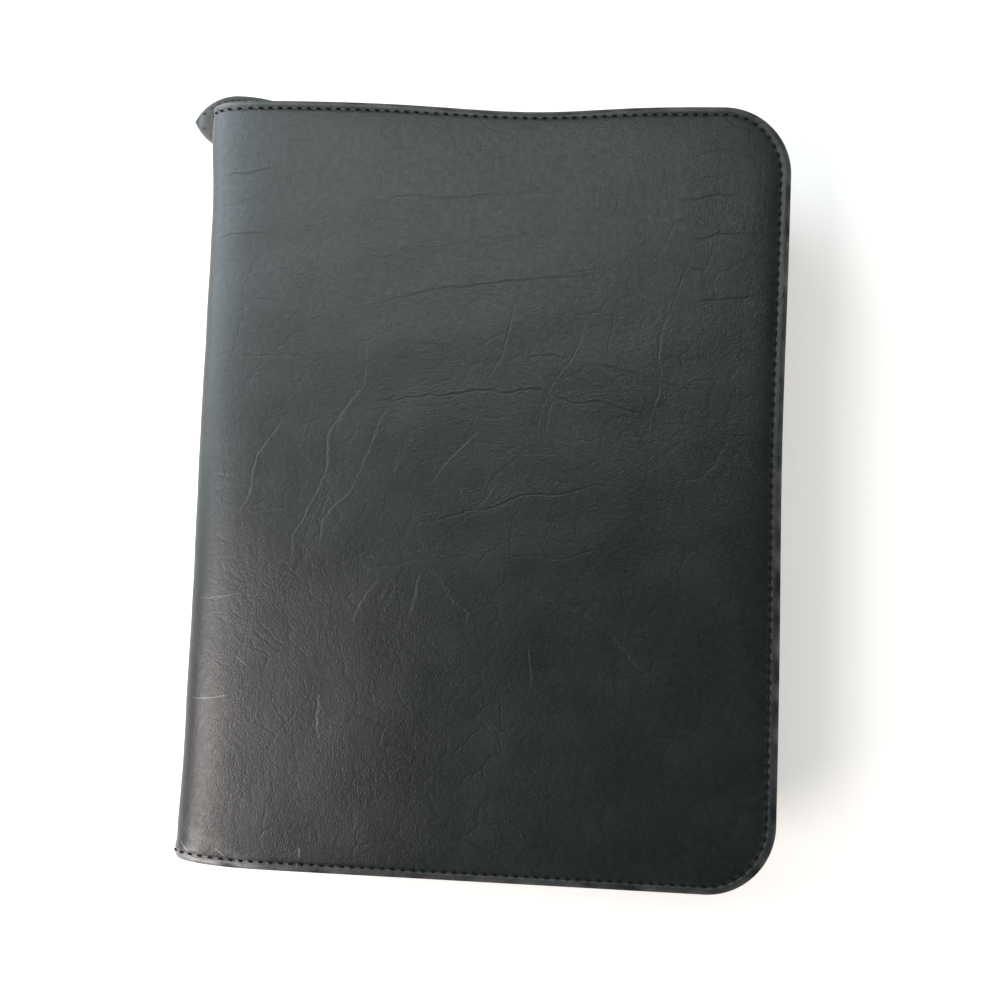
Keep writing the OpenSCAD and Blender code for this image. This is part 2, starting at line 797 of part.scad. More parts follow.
module zip_tail() {
    points = [for (i = [0 : tail_rings], p = tail_corners(i / tail_rings)) p];
    sides = [for (i = [0 : tail_rings - 1], k = [0 : 3], half = [0, 1])
        half == 0 ? [4 * i + k, 4 * i + (k + 1) % 4, 4 * i + 4 + k]
        : [4 * i + (k + 1) % 4, 4 * i + 4 + (k + 1) % 4, 4 * i + 4 + k]];
    last = 4 * tail_rings;
    ends = [[3, 2, 1, 0], [last, last + 1, last + 2, last + 3]];
    color(cloth_colour) polyhedron(points, concat(sides, ends));
}

// Leaf with a pointed end and a longer, blunt end: two pairs of arcs that meet where it is widest
module tab_leaf() {
    translate([x_tab_wide, y_tab, 0]) {
        intersection() {
            leaf_arcs(tab_tip_r);
            translate([-2 * tab_tip_l, -tab_w, 0]) cube([2 * tab_tip_l, 2 * tab_w, tab_leaf_t]);
        }
        intersection() {
            leaf_arcs(tab_back_r);
            translate([0, -tab_w, 0]) cube([tab_back_l, 2 * tab_w, tab_leaf_t]);
        }
    }
}

module leaf_arcs(radius) {
    intersection() {
        translate([0, tab_w / 2 - radius, 0]) cylinder(r = radius, h = tab_leaf_t);
        translate([0, radius - tab_w / 2, 0]) cylinder(r = radius, h = tab_leaf_t);
    }
}

module tab_lower_leaf() {
    color(leather_colour) translate([0, 0, tab_z]) tab_leaf();
}

module tab_upper_leaf() {
    color(leather_colour) translate([0, 0, tail_z + tail_t + tail_gap]) tab_leaf();
}

// Frame of the parked slider: X along the zip, Y out from the wall, Z across the zip
module at_slider() {
    translate([x_slider, -y_wall, z_mid]) mirror([0, 1, 0]) children();
}

// Outline of a slider plate: wide at the leading end, narrower at the trailing end
slider_outline = [
    [-slider_front, -slider_half + slider_taper], [-slider_front + slider_taper, -slider_half],
    [0, -slider_half], [slider_front, -slider_narrow], [slider_front, slider_narrow], [0, slider_half],
    [-slider_front + slider_taper, slider_half], [-slider_front, slider_half - slider_taper]
];
slider_flange = [
    [-slider_front + slider_taper, slider_half], [0, slider_half], [slider_front, slider_narrow],
    [slider_front, slider_narrow - flange_w], [0, slider_half - flange_w],
    [-slider_front + slider_taper, slider_half - flange_w]
];
slider_post = [
    [post_start - slider_front, 0], [post_start - slider_front + post_l / 2, -post_w / 2],
    [post_start - slider_front + post_l, 0], [post_start - slider_front + post_l / 2, post_w / 2]
];

// Plate of an outline in X and Z, between two distances from the wall's middle
module slider_layer(outline, from, to) {
    translate([0, to, 0]) rotate([90, 0, 0]) linear_extrude(to - from) polygon(outline);
}

module zip_slider() {
    color(metal_colour) at_slider() {
        for (side = [0, 1]) mirror([0, side, 0]) {
            slider_layer(slider_outline, channel, plate_outer);
            for (edge = [0, 1]) mirror([0, 0, edge]) slider_layer(slider_flange, flange_slit / 2, channel);
        }
        slider_layer(slider_post, -channel, channel);
        linear_extrude(bridge_w, center = true) polygon([
            [-bridge_l / 2, plate_outer], [-bridge_l / 2, bridge_top - bridge_t],
            [bridge_t - bridge_l / 2, bridge_top], [bridge_l / 2 - bridge_t, bridge_top],
            [bridge_l / 2, bridge_top - bridge_t], [bridge_l / 2, plate_outer],
            [bridge_l / 2 - bridge_t, plate_outer], [bridge_l / 2 - bridge_t, bridge_top - bridge_t],
            [bridge_t - bridge_l / 2, bridge_top - bridge_t], [bridge_t - bridge_l / 2, plate_outer]
        ]);
    }
}

// Pull with a wire loop under the bridge, lying along the wall towards the spine
module zip_pull() {
    color(metal_colour) at_slider() translate([0, pull_pivot, 0]) {
        cylinder(r = pull_pin_r, h = 2 * (arm_in + arm_w), center = true);
        for (side = [0, 1]) mirror([0, 0, side])
            translate([-loop_end - arm_w, -pull_t / 2, arm_in]) cube([loop_end + arm_w, pull_t, arm_w]);
        difference() {
            union() {
                translate([0, pull_t / 2, 0]) rotate([90, 0, 0]) linear_extrude(pull_t) polygon([
                    [-loop_end, -arm_in - arm_w], [-loop_end, arm_in + arm_w],
                    [pull_end_r - pull_l, pull_end_r], [pull_end_r - pull_l, -pull_end_r]
                ]);
                translate([pull_end_r - pull_l, 0, 0]) spine_bar(pull_end_r, pull_t);
            }
            translate([pull_end_r - pull_l, 0, 0]) spine_bar(pull_eye_r, pull_t + 1);
        }
    }
}

front_leather();
front_padding();
front_board();
front_lining();
front_zip_tape();
front_zip_teeth();
front_zip_stops();
front_slip_pocket();
upper_card_pocket();
middle_card_pocket();
lower_card_pocket();
spine_leather();
spine_padding();
spine_board();
spine_lining();
ring_cover_plate();
ring_rivets();
front_blade();
front_half_rings();
back_blade();
back_half_rings();
top_trigger();
bottom_trigger();
back_leather();
back_padding();
back_board();
back_lining();
back_zip_tape();
back_zip_teeth();
back_zip_stops();
back_slip_pocket();
pen_loop();
zip_tail();
tab_upper_leaf();
tab_lower_leaf();
zip_slider();
zip_pull();
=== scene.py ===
import bmesh
import bpy
import numpy as np
from mathutils import Matrix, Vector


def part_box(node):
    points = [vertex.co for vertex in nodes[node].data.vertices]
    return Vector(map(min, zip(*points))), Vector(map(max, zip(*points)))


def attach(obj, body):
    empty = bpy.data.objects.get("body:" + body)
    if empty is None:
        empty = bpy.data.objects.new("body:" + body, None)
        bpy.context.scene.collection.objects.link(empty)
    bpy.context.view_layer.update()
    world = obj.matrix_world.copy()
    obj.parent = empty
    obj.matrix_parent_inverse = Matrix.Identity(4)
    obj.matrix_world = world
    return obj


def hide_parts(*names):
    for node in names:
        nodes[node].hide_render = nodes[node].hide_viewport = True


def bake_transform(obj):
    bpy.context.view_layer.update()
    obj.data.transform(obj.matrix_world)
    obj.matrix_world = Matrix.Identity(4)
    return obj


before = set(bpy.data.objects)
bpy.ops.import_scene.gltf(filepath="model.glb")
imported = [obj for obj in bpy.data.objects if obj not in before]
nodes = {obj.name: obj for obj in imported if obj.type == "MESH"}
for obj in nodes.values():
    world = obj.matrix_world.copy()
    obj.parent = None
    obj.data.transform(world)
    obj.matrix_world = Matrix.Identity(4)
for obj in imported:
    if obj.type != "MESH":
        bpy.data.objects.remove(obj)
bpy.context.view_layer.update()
scene = bpy.context.scene
mm = 0.001
print("frame:", len(nodes), "CAD nodes")


class Sizes:  # numbers by name
    def __init__(self, **numbers):
        for key, value in numbers.items():
            setattr(self, key, value)


# small tools for surfaces

def ease(t):  # 3t^2 - 2t^3, held at 0 and 1 outside
    t = np.clip(t, 0, 1)
    return t * t * (3 - 2 * t)


def hump(t):  # bell exp(-t^2)
    return np.exp(-t * t)


def ripple(u, v, length, seed, count=12):  # sum of plane waves with seeded headings, about -1 to 1
    draw = np.random.default_rng(seed)
    heading = draw.uniform(0, 2 * np.pi, count)
    wave = 2 * np.pi / (length * draw.uniform(0.7, 1.7, count))
    phase = draw.uniform(0, 2 * np.pi, count)
    total = sum(np.sin(k * (u * np.cos(h) + v * np.sin(h)) + p) for k, h, p in zip(wave, heading, phase))
    return total / np.sqrt(count)


def unit(v):
    return v / np.linalg.norm(v, axis=-1, keepdims=True)


def join(*parts):  # coordinates side by side
    return np.stack(np.broadcast_arrays(*parts), -1)


def cells(index):  # quads of a grid of point numbers
    return join(index[:-1, :-1], index[1:, :-1], index[1:, 1:], index[:-1, 1:]).reshape(-1, 4)


def gridFaces(rows, cols, wrap=False, first=0):  # quads of a rows x cols grid, wrap closes each row
    index = first + np.arange(rows * cols).reshape(rows, cols)
    return cells(np.hstack([index, index[:, :1]]) if wrap else index)


def pathRun(points):  # distance along a line of points, from its start
    return np.r_[0, np.cumsum(np.linalg.norm(np.diff(points, axis=0), axis=1))]


def bothFaces(a, b):  # sheet places for the two faces of a slab
    return np.tile(join(a, b).reshape(-1, 2), (2, 1))


def addObject(name, data, place=None, turn=None):
    made = bpy.data.objects.new(name, data)
    scene.collection.objects.link(made)
    if place is not None:
        made.matrix_world = Matrix.Translation(place) @ Matrix(turn).to_4x4()
    return made


def addPiece(name, points, faces, finish, flat=None, marks=None, closing=(),
             weld=False, flip=False, crisp=False):
    # points in millimetres; flat is each point's place on the uncut sheet, marks are numbers for the shader;
    # faces are quads, closing holds faces with more corners
    points, polygons = points.reshape(-1, 3), [*faces, *closing]
    sides = np.array([len(polygon) for polygon in polygons])
    corners = np.concatenate([polygon[::-1] for polygon in polygons] if flip else polygons).astype(np.int32)
    mesh = bpy.data.meshes.new(name)
    mesh.vertices.add(len(points))
    mesh.vertices.foreach_set("co", (points * mm).astype(np.float32).ravel())
    mesh.loops.add(len(corners))
    mesh.loops.foreach_set("vertex_index", corners)
    mesh.polygons.add(len(polygons))
    mesh.polygons.foreach_set("loop_start", (np.cumsum(sides) - sides).astype(np.int32))
    mesh.update(calc_edges=True)
    mesh.shade_smooth()
    if flat is not None:
        place = np.zeros((len(points), 3), np.float32)
        place[:, :flat.shape[-1]] = flat.reshape(len(points), -1)
        mesh.attributes.new("flat", "FLOAT_VECTOR", "POINT").data.foreach_set("vector", place.ravel())
    for key, values in (marks or {}).items():
        stored = mesh.attributes.new(key, "FLOAT", "POINT").data
        stored.foreach_set("value", values.ravel().astype(np.float32))
    if weld:
        work = bmesh.new()
        work.from_mesh(mesh)
        bmesh.ops.remove_doubles(work, verts=work.verts, dist=1e-6)
        work.to_mesh(mesh)
        work.free()
    mesh.validate()
    if crisp:
        mesh.set_sharp_from_angle(angle=np.radians(50))
    mesh.materials.append(finish)
    return addObject(name, mesh)


# shader tools

class Wire:  # a socket in sums and products: each operator adds one Math node
    def __init__(self, finish, socket):
        self.finish, self.socket = finish, socket

    def maths(self, kind, a, b=0.0):
        return self.finish.node("Math", {"operation": kind}, {0: a, 1: b})

    def __add__(self, other): return self.maths("ADD", self, other)
    def __radd__(self, other): return self.maths("ADD", other, self)
    def __sub__(self, other): return self.maths("SUBTRACT", self, other)
    def __rsub__(self, other): return self.maths("SUBTRACT", other, self)
    def __mul__(self, other): return self.maths("MULTIPLY", self, other)
    def __truediv__(self, other): return self.maths("DIVIDE", self, other)
    def __pow__(self, other): return self.maths("POWER", self, other)
    def __abs__(self): return self.maths("ABSOLUTE", self)
    def sine(self): return self.maths("SINE", self)
    def above(self, level): return self.maths("GREATER_THAN", self, level)
    def least(self, other): return self.maths("MINIMUM", self, other)
    def held(self): return self.maths("MAXIMUM", self.least(1.0), 0.0)


class Finish:  # a shader tree, that of a new material unless one is given
    def __init__(self, name, tree=None):
        if tree is None:
            self.material = bpy.data.materials.new(name)
            self.material.use_nodes = True
            tree = self.material.node_tree
        self.tree = tree
        tree.nodes.clear()

    def new(self, kind):
        return self.tree.nodes.new("ShaderNode" + kind)

    def node(self, kind, settings=None, sockets=None, out=0):
        made = self.new(kind)
        for key, value in (settings or {}).items():
            setattr(made, key, value)
        for key, value in (sockets or {}).items():
            if isinstance(value, Wire):
                self.tree.links.new(value.socket, made.inputs[key])
            else:
                made.inputs[key].default_value = value
        return Wire(self, made.outputs[out])

    def mark(self, name, out=2):  # a number or place stored on the mesh
        return self.node("Attribute", {"attribute_name": name}, out=out)

    def place(self, stored):  # stored sheet place, or object coordinates in millimetres
        if stored:
            return self.mark("flat", 1)
        here = self.node("TexCoord", out=3)
        return self.node("VectorMath", {"operation": "SCALE"}, {0: here, "Scale": 1000.0})

    def parts(self, vector):
        made = self.new("SeparateXYZ")
        self.tree.links.new(vector.socket, made.inputs[0])
        return [Wire(self, o) for o in made.outputs]

    def noise(self, vector, size, detail=3.0, rough=0.5):  # size of the blotches in millimetres
        sockets = {"Vector": vector, "Scale": 1 / size, "Detail": detail, "Roughness": rough}
        return self.node("TexNoise", None, sockets)

    def edges(self, vector, size):  # distance to the edge of random cells, size in millimetres
        sockets = {"Vector": vector, "Scale": 1 / size}
        return self.node("TexVoronoi", {"feature": "DISTANCE_TO_EDGE"}, sockets)

    def blend(self, share, a, b):
        return self.node("Mix", {"data_type": "RGBA"}, {0: share, 6: a, 7: b}, out=2)

    def bump(self, height, depth):  # depth in millimetres for a height of 1
        return self.node("Bump", None, {"Height": height, "Distance": depth * mm, "Strength": 1.0})

    def rays(self):  # 1 for rays from the camera, off gloss and through glass
        kinds = ("Is Camera Ray", "Is Glossy Ray", "Is Transmission Ray")
        return (self.node("LightPath", out=kind) for kind in kinds)

    def surface(self, shader, kind="OutputMaterial"):
        self.tree.links.new(shader.socket, self.new(kind).inputs["Surface"])

    def close(self, **sockets):  # underscores stand for the spaces in socket names
        keys = {key.replace("_", " "): value for key, value in sockets.items()}
        self.surface(self.node("BsdfPrincipled", None, keys))
        return self.material


def grey(level, tint=(1, 1, 1)):
    return (*np.multiply(level, tint), 1)


# finishes

outerLeather = dict(tone=0.013, tint=(0.76, 1.0, 1.0), worn=0.3, rough=0.38, gloss=0.6, grain=0.95,
                    deep=0.022, fine=0.022)
tabLeather = dict(outerLeather, tone=0.016, tint=(1.12, 1.0, 0.97))
pocketLeather = dict(tone=0.018, tint=(1.0, 1.0, 1.0), worn=0.16, rough=0.42, gloss=0.55, grain=0.7,
                     deep=0.022, fine=0.02)
# sizes and depths of the leather's pattern, in millimetres
pattern = Sizes(fine=0.4, scratch=0.7, speck=1.6, mottle=2.3, net=4.6, wrinkle=11.0, patch=22.0, furrow=0.45,
                lip=0.8, scuff=0.3)
relief = Sizes(mottle=0.035, wrinkle=0.035, net=0.02, furrow=0.05, lip=0.042, scratch=0.03)
# pale colour of wear, scratches and scuffs, which also paints the highlights and glints on the front leather
paleTint = (1.0, 0.93, 0.91)


def leatherFinish(name, look):
    f, look = Finish(name), Sizes(**look)
    place = f.place(True)
    wearAndSheen = f.mark("wearAndSheen")
    grain = (f.edges(place, look.grain) * 4.5).least(1.0)  # 0 between the cells of the grain
    fine = f.noise(place, pattern.fine, 4.0, 0.65)
    patches = f.noise(place, pattern.patch)
    specks = f.noise(place, pattern.speck, 5.0, 0.65)
    mottle = ((f.noise(place, pattern.mottle, 3.0, 0.6) - 0.3) * 2.4).held()
    # wrinkles and net: edges of cells bent by noise, each only where patches are high or low
    bend = f.node("TexNoise", None, {"Vector": place, "Scale": 0.12, "Detail": 4.0}, out=1)
    bent = f.node("VectorMath", {"operation": "MULTIPLY_ADD"}, {0: bend, 1: (9.0, 9.0, 0.0), 2: place})
    large, small = f.edges(bent, pattern.wrinkle), f.edges(bent, pattern.net)
    wrinkles = (1.0 - (large * 16.0).least(1.0)) * ((patches - 0.42) * 5.0).held()
    net = (1.0 - (small * 9.0).least(1.0)) * ((0.6 - patches) * 5.0).held()
    # creases: a furrow with a lip on one side, stronger and weaker with the mottle
    gap, deep = f.mark("crease"), f.mark("creaseDeep") * (0.5 + mottle * 0.75)
    furrow = (1.0 - (abs(gap) / pattern.furrow).least(1.0)) * deep
    lip = (1.0 - (abs(gap - pattern.lip) / pattern.lip).least(1.0)) * deep
    turned = f.node("Mapping", None, {"Vector": place, "Rotation": (0, 0, 0.9), "Scale": (1.0, 0.05, 1.0)})
    scratches = f.noise(turned, pattern.scratch, 2.0).above(0.72)
    height = grain * look.deep + fine * look.fine + mottle * relief.mottle
    height = height - wrinkles * relief.wrinkle - net * relief.net
    height = height - furrow * relief.furrow + lip * relief.lip - scratches * wearAndSheen * relief.scratch
    # scuff mark: pale scratch lines, and painted glints along the flange
    scuff = (1.0 - (abs(f.mark("scuff")) / pattern.scuff).least(1.0)) * f.mark("scuffDeep")
    # share of the pale colour: wear, scratches and scuffs, together with the painted highlights and glints
    # carried by the wear and scuff marks
    share = (wearAndSheen * (0.3 + specks * 0.9) + scratches * wearAndSheen * 0.6 + scuff * (0.4 + specks)).least(1.0)
    dark, soft, low = (grey(look.tone * k, look.tint) for k in (0.6, 1.6, 0.35))
    base = f.blend((mottle * 0.8 + (patches - 0.4) * 0.6).held(), dark, soft)
    # painted shade: the base colour is darkened in the furrows, wrinkles and net, where shade falls
    base = f.blend((furrow * 0.5 + wrinkles * 0.45 + net * 0.35).least(1.0), base, low)
    colour = f.blend(share, base, grey(look.worn, paleTint))
    rough = look.rough + (patches - 0.5) * 0.1 + (fine - 0.5) * 0.12 + (0.5 - mottle) * 0.08
    rough = rough - share * 0.1 + furrow * 0.15
    return f.close(Base_Color=colour, Roughness=rough, Normal=f.bump(height, 1.0),
                   Specular_IOR_Level=look.gloss)


def weaveFinish(name, tone, tint, pitch, slant=0.0, deep=0.12, rough=0.85):
    # threads over and under: ridges |sin a sin b| that take turns, slant shifts each row for a twill
    f = Finish(name)
    place = f.place(True)
    u, v = f.parts(place)[:2]
    a = u * (np.pi / pitch) + v * (slant * np.pi / pitch)
    b = v * (np.pi / pitch)
    over = a.sine() * b.sine()
    height = abs(over) ** 0.6 + over * 0.35
    fuzz = f.noise(place, 0.25)
    patches = f.noise(place, 18.0)
    # painted shade: the colour darkens where the threads dip under, with random tone from fuzz and patches
    share = (height * 0.55 + fuzz * 0.35 + patches * 0.2).least(1.0)
    colour = f.blend(share, grey(tone * 0.45, tint), grey(tone * 1.6, tint))
    return f.close(Base_Color=colour, Roughness=rough - fuzz * 0.1, Normal=f.bump(height + fuzz * 0.4, deep),
                   Sheen_Weight=0.15, Sheen_Roughness=0.5)


def threadFinish(name, tone):
    f = Finish(name)
    place = f.place(True)
    u, v = f.parts(place)[:2]
    twist = (u * 9.0 + v * 6.0).sine() * 0.5 + 0.5
    # painted shade and highlight: the colour darkens in the grooves of the twist and lightens on its ridges
    colour = f.blend(twist, grey(tone * 0.5), grey(tone * 1.7))
    return f.close(Base_Color=colour, Roughness=0.8 + twist * 0.15, Normal=f.bump(twist, 0.05),
                   Specular_IOR_Level=0.2)


def metalFinish(name, tint, rough, scratch):
    f = Finish(name)
    place = f.place(False)
    long = f.node("Mapping", None, {"Vector": place, "Scale": (1.0, 0.08, 1.0)})
    lines = f.noise(long, 0.35, 4.0, 0.65)
    clouds = f.noise(place, 6.0)
    pits = f.noise(place, 0.6, 4.0, 0.7).above(0.66)
    dull = (*np.multiply(tint, (0.72, 0.7, 0.66)), 1)
    colour = f.blend((clouds * 0.6 + pits * 0.3).least(1.0), (*tint, 1), dull)
    return f.close(Base_Color=colour, Metallic=1.0, Roughness=rough + (lines - 0.5) * 0.12 + clouds * 0.08,
                   Normal=f.bump(lines, scratch))


def boardFinish(name, tint):
    f = Finish(name)
    place = f.place(False)
    fibres = f.noise(place, 0.8, 5.0, 0.7)
    flecks = f.noise(place, 2.5).above(0.62)
    dark = (*np.multiply(tint, (0.7, 0.7, 0.68)), 1)
    colour = f.blend((fibres * 0.7 + flecks * 0.2).least(1.0), dark, (*tint, 1))
    return f.close(Base_Color=colour, Roughness=0.82 + fibres * 0.15, Normal=f.bump(fibres, 0.06))


leatherBlack = leatherFinish("satin_leather", outerLeather)
leatherTab = leatherFinish("tab_leather", tabLeather)
leatherPocket = leatherFinish("pocket_leather", pocketLeather)
clothLining = weaveFinish("lining_weave", 0.06, (0.95, 1.0, 1.08), 0.85)
clothTape = weaveFinish("tape_twill", 0.022, (1.0, 1.0, 1.03), 0.8, slant=0.5)
clothElastic = weaveFinish("elastic_rib", 0.02, (1.0, 1.0, 1.0), 0.8)
threadBlack = threadFinish("black_thread", 0.006)
threadGrey = threadFinish("grey_thread", 0.05)
threadTab = threadFinish("tab_thread", 0.02)
metalZip = metalFinish("zip_nickel", (0.62, 0.6, 0.56), 0.32, 0.004)
metalRing = metalFinish("ring_nickel", (0.62, 0.62, 0.63), 0.12, 0.002)
greyBoard = boardFinish("grey_board", (0.42, 0.37, 0.3))
print("finishes made")


# cover: one leather sheet from the middle of the spine, over the fold, to the zip side

# stitchIn, drop and puff are given along the top and bottom, then along the zip side
cover = Sizes(width=200.0, height=262.0, thick=46.0, cornerR=23.0, foldRun=6.0, stitchIn=(2.6, 3.4),
              drop=(0.55, 1.05), puff=(5.0, 3.2), groove=(0.28, 0.55), pitch=3.4, thread=(2.1, 0.32),
              slant=0.14, gridEdge=0.35, skin=2.5, hemIn=5.2, innerRows=11)
# swellings of the outer face: height, then the length over which it acts
swell = Sizes(border=(0.12, 0.8), broad=(0.13, 60.0), small=(0.05, 21.0), spine=(0.9, 12.0), heel=(0.8, 5.0))
crease = Sizes(deep=0.04, wide=0.8, lipAt=1.6, lipWide=1.4, fade=3.0, shown=6.0)
xSpine, xEdge, yEdge = -cover.width / 2, cover.width / 2, cover.height / 2
zTop, zMid = cover.thick, cover.thick / 2


def foldTilt(s):  # tilt of the sheet from level, upright at the spine: pi/2 exp(-s / foldRun)
    return np.pi / 2 * np.exp(-s / cover.foldRun)


def runningSum(values, step):  # integral by the trapezium rule
    return np.r_[0, np.cumsum((values[1:] + values[:-1]) / 2 * step)]


foldS = np.linspace(0, 8 * cover.foldRun, 1200)
foldX = runningSum(np.cos(foldTilt(foldS)), foldS[1])
foldZ = runningSum(np.sin(foldTilt(foldS)), foldS[1])
uFold = zMid - foldZ[-1]
uFlat = uFold + foldS[-1]
uEdge = uFlat + cover.width - foldX[-1]
uCorner, yCorner = uEdge - cover.cornerR, yEdge - cover.cornerR

# where use has drawn the edge in: middle, width to either side, how far in, how far down
topDip = Sizes(x=11.3, left=33.0, right=27.0, inward=1.9, down=0.6, droop=0.9, border=3.4)
sideDip = Sizes(y=15.0, wide=55.0, inward=0.9)
heelDip = Sizes(x=-99.0, wide=14.0, inward=0.9)
flare = Sizes(x=-82.0, top=1.7, bottom=1.1)  # the ends of the fold stand out

# creases in the front leather: strength, then x and y of each point from the middle of the front
frontCreases = [
    (1.0, -41.7, 26.2, -19.8, 29.2, 0.4, 31.5, 15.6, 31.6, 35.8, 28.5, 54.2, 25.4),
    (1.0, -26.5, -14.2, -8.1, -10.9, 11.8, -4.2, 28.4, -0.9, 44.9, 1.6),
    (0.8, -40.5, 53.2, -43.0, 32.6, -53.2, 15.3, -54.4, 3.4, -57.3, -8.6, -63.6, -18.9, -64.8, -30.7),
    (0.8, -68.1, 20.9, -76.8, 7.7, -79.0, -2.6, -86.8, -18.1),
    (0.7, 33.8, 58.6, 25.3, 41.4, 19.1, 26.0, 16.7, 17.5), (0.8, 60.5, 64.4, 57.2, 38.9, 55.1, 18.7),
    (0.8, 9.2, 63.8, 7.2, 54.0, 5.1, 44.3, 0.1, 34.4), (0.5, 81.5, 19.5, 78.5, 9.4, 73.0, 3.6),
    (0.7, -33.2, 26.1, -36.2, 15.8, -44.0, 0.3), (0.7, -2.5, 18.6, -12.2, 8.1, -18.7, 1.2),
    (0.6, 33.7, 41.6, 57.2, 37.3, 78.9, 32.9), (0.5, 23.8, 36.3, 35.3, 42.7),
    (0.6, -43.2, 60.0, -19.5, 65.4, 9.2, 69.9, 39.4, 73.4),
    (0.6, -46.4, 95.4, -15.6, 98.2, 9.8, 101.9, 23.3, 104.6), (0.6, 4.1, -24.9, 52.2, -20.4),
    (0.8, 61.8, 113.3, 88.5, 116.2), (0.9, 60.5, 98.2, 83.9, 100.4), (0.9, 65.9, 85.6, 91.5, 87.3),
    (0.8, 66.5, 62.9, 92.0, 66.2), (0.9, -96.3, 103.8, -74.5, 107.0), (0.9, -95.2, 82.5, -76.9, 84.3),
    (0.7, -93.9, 41.4, -69.8, 41.4), (0.7, -19.2, -29.1, -23.6, -45.9),
    (0.8, -52.7, -70.8, -52.9, -79.0, -52.2, -87.3), (0.6, 16.7, -50.9, 17.9, -67.4),
    (0.7, -42.8, 1.2, -49.8, -8.6, -52.9, -13.8, -54.0, -21.7), (0.6, 5.1, 0.7, 1.4, -3.9, -2.9, -9.1),
    (0.6, -34.5, -33.8, -38.7, -40.1, -42.9, -47.0),
    (0.5, -41.4, -30.2, -26.8, -27.9, -17.9, -25.9, -0.1, -23.5),
    (0.7, -96.1, 0.2, -88.5, 0.0, -83.9, -0.2), (0.4, -63.3, 1.0, -50.8, 1.5),
    (0.5, -83.3, -12.1, -73.0, -11.5, -63.9, -10.6), (0.7, 23.1, 30.7, 21.4, 24.3, 19.7, 15.8),
    (0.6, 13.0, 43.0, 21.9, 44.5, 26.1, 43.4), (0.5, 58.2, 22.4, 69.4, 21.6, 81.1, 19.2, 95.1, 20.1),
    (0.5, -0.2, -5.8, 4.3, 3.3, 11.8, 9.0)]
# pale scratches near the lower end of the spine, and painted glints along its flange (the last three), in the
# same form
scuffs = [
    (1.0, -56.3, -122.4, -55.8, -126.2), (0.8, -96.5, -75.8, -91.1, -74.9, -83.6, -73.5),
    (0.5, -81.2, -60.4, -77.3, -63.5), (0.4, -94.4, -41.4, -87.6, -40.5, -81.9, -39.6),
    # painted glints: pale highlights along the flange
    (0.9, -96.0, -124.5, -91.5, -128.8), (0.8, -86.0, -125.5, -81.0, -129.6),
    (0.7, -93.0, -129.6, -72.0, -130.0)]
backCreases = [
    (0.7, -60.0, 40.0, -20.0, 48.0, 30.0, 44.0), (0.6, 10.0, -20.0, 45.0, -12.0, 80.0, -16.0),
    (0.5, -40.0, -60.0, -36.0, -20.0, -44.0, 10.0), (0.5, 55.0, 70.0, 50.0, 30.0)]


def frontX(u):  # place across the front, from the run along the sheet
    return xSpine + np.interp(u - uFold, foldS, foldX) + np.maximum(u - uFlat, 0)


def wrapPoint(u, y, depth):  # up the spine, over the fold, then flat; depth goes into the cover
    tilt = np.where(u < uFlat, foldTilt(np.maximum(u - uFold, 0)), 0)
    x = frontX(u) + depth * np.sin(tilt)
    z = zMid + np.minimum(u, uFold) + np.interp(u - uFold, foldS, foldZ) - depth * np.cos(tilt)
    return join(x, y, z)


def pastCorner(u, y):  # how far a point lies beyond the middle of a round corner, across and along
    return np.maximum(u - uCorner, 0), np.maximum(np.abs(y) - yCorner, 0)


def sideShare(u, y):  # 0 along the top and bottom, 1 along the zip side, sin^2 of the angle round a corner
    across, along = pastCorner(u, y)
    return across ** 2 / np.maximum(across ** 2 + along ** 2, 1e-9)


def border(sizes, u, y):  # a border size at a point of the sheet
    level, side = sizes
    return level + (side - level) * sideShare(u, y)


def edgeDistance(u, y):  # distance in from the cut edge of a sheet with two round corners
    across, along = pastCorner(u, y)
    inside = np.minimum(uEdge - u, yEdge - np.abs(y))
    return np.where((across > 0) & (along > 0), cover.cornerR - np.hypot(across, along), inside)


def edgeRun(u, y):  # distance along the stitch line, from the spine's middle at the top round to the bottom
    r = cover.cornerR - np.mean(cover.stitchIn)
    across, along = pastCorner(u, y)
    down = yCorner - np.minimum(np.abs(y), yCorner)
    top = np.minimum(u, uCorner) + r * np.arctan2(across, along + 1e-9) + down
    top = np.where((across <= 0) & (along > 0), u, top)
    whole = 2 * (uCorner + r * np.pi / 2 + yCorner)
    return np.where(y >= 0, top, whole - top)


def creaseField(x, y, creases, seed):
    # distance to the nearest broken line, signed by its side, and its depth, which fades out at both ends;
    # the place is first shaken by two ripples so that no line stays straight
    wx = x + 0.7 * ripple(x, y, 22.0, seed) + 0.2 * ripple(x, y, 5.0, seed + 1)
    wy = y + 0.7 * ripple(x, y, 22.0, seed + 2) + 0.2 * ripple(x, y, 5.0, seed + 3)
    near, side, deep = np.full(x.shape, 1e9), np.ones(x.shape), np.zeros(x.shape)
    for strength, *line in creases:
        line = np.reshape(line, (-1, 2))
        lengths = pathRun(line)
        for k, d in enumerate(np.diff(line, axis=0)):
            ex, ey = wx - line[k, 0], wy - line[k, 1]
            t = np.clip((ex * d[0] + ey * d[1]) / (d @ d), 0, 1)
            gap = np.hypot(ex - t * d[0], ey - t * d[1])
            share = (lengths[k] + t * (lengths[k + 1] - lengths[k])) / lengths[-1]
            closer = gap < near
            near = np.where(closer, gap, near)
            side = np.where(closer, np.sign(d[0] * ey - d[1] * ex), side)
            deep = np.where(closer, strength * np.sqrt(np.maximum(np.sin(np.pi * share), 0)), deep)
    return near * side, deep


def leatherCrease(u, y, front):
    return creaseField(frontX(u), y, frontCreases if front else backCreases, 61 if front else 71)


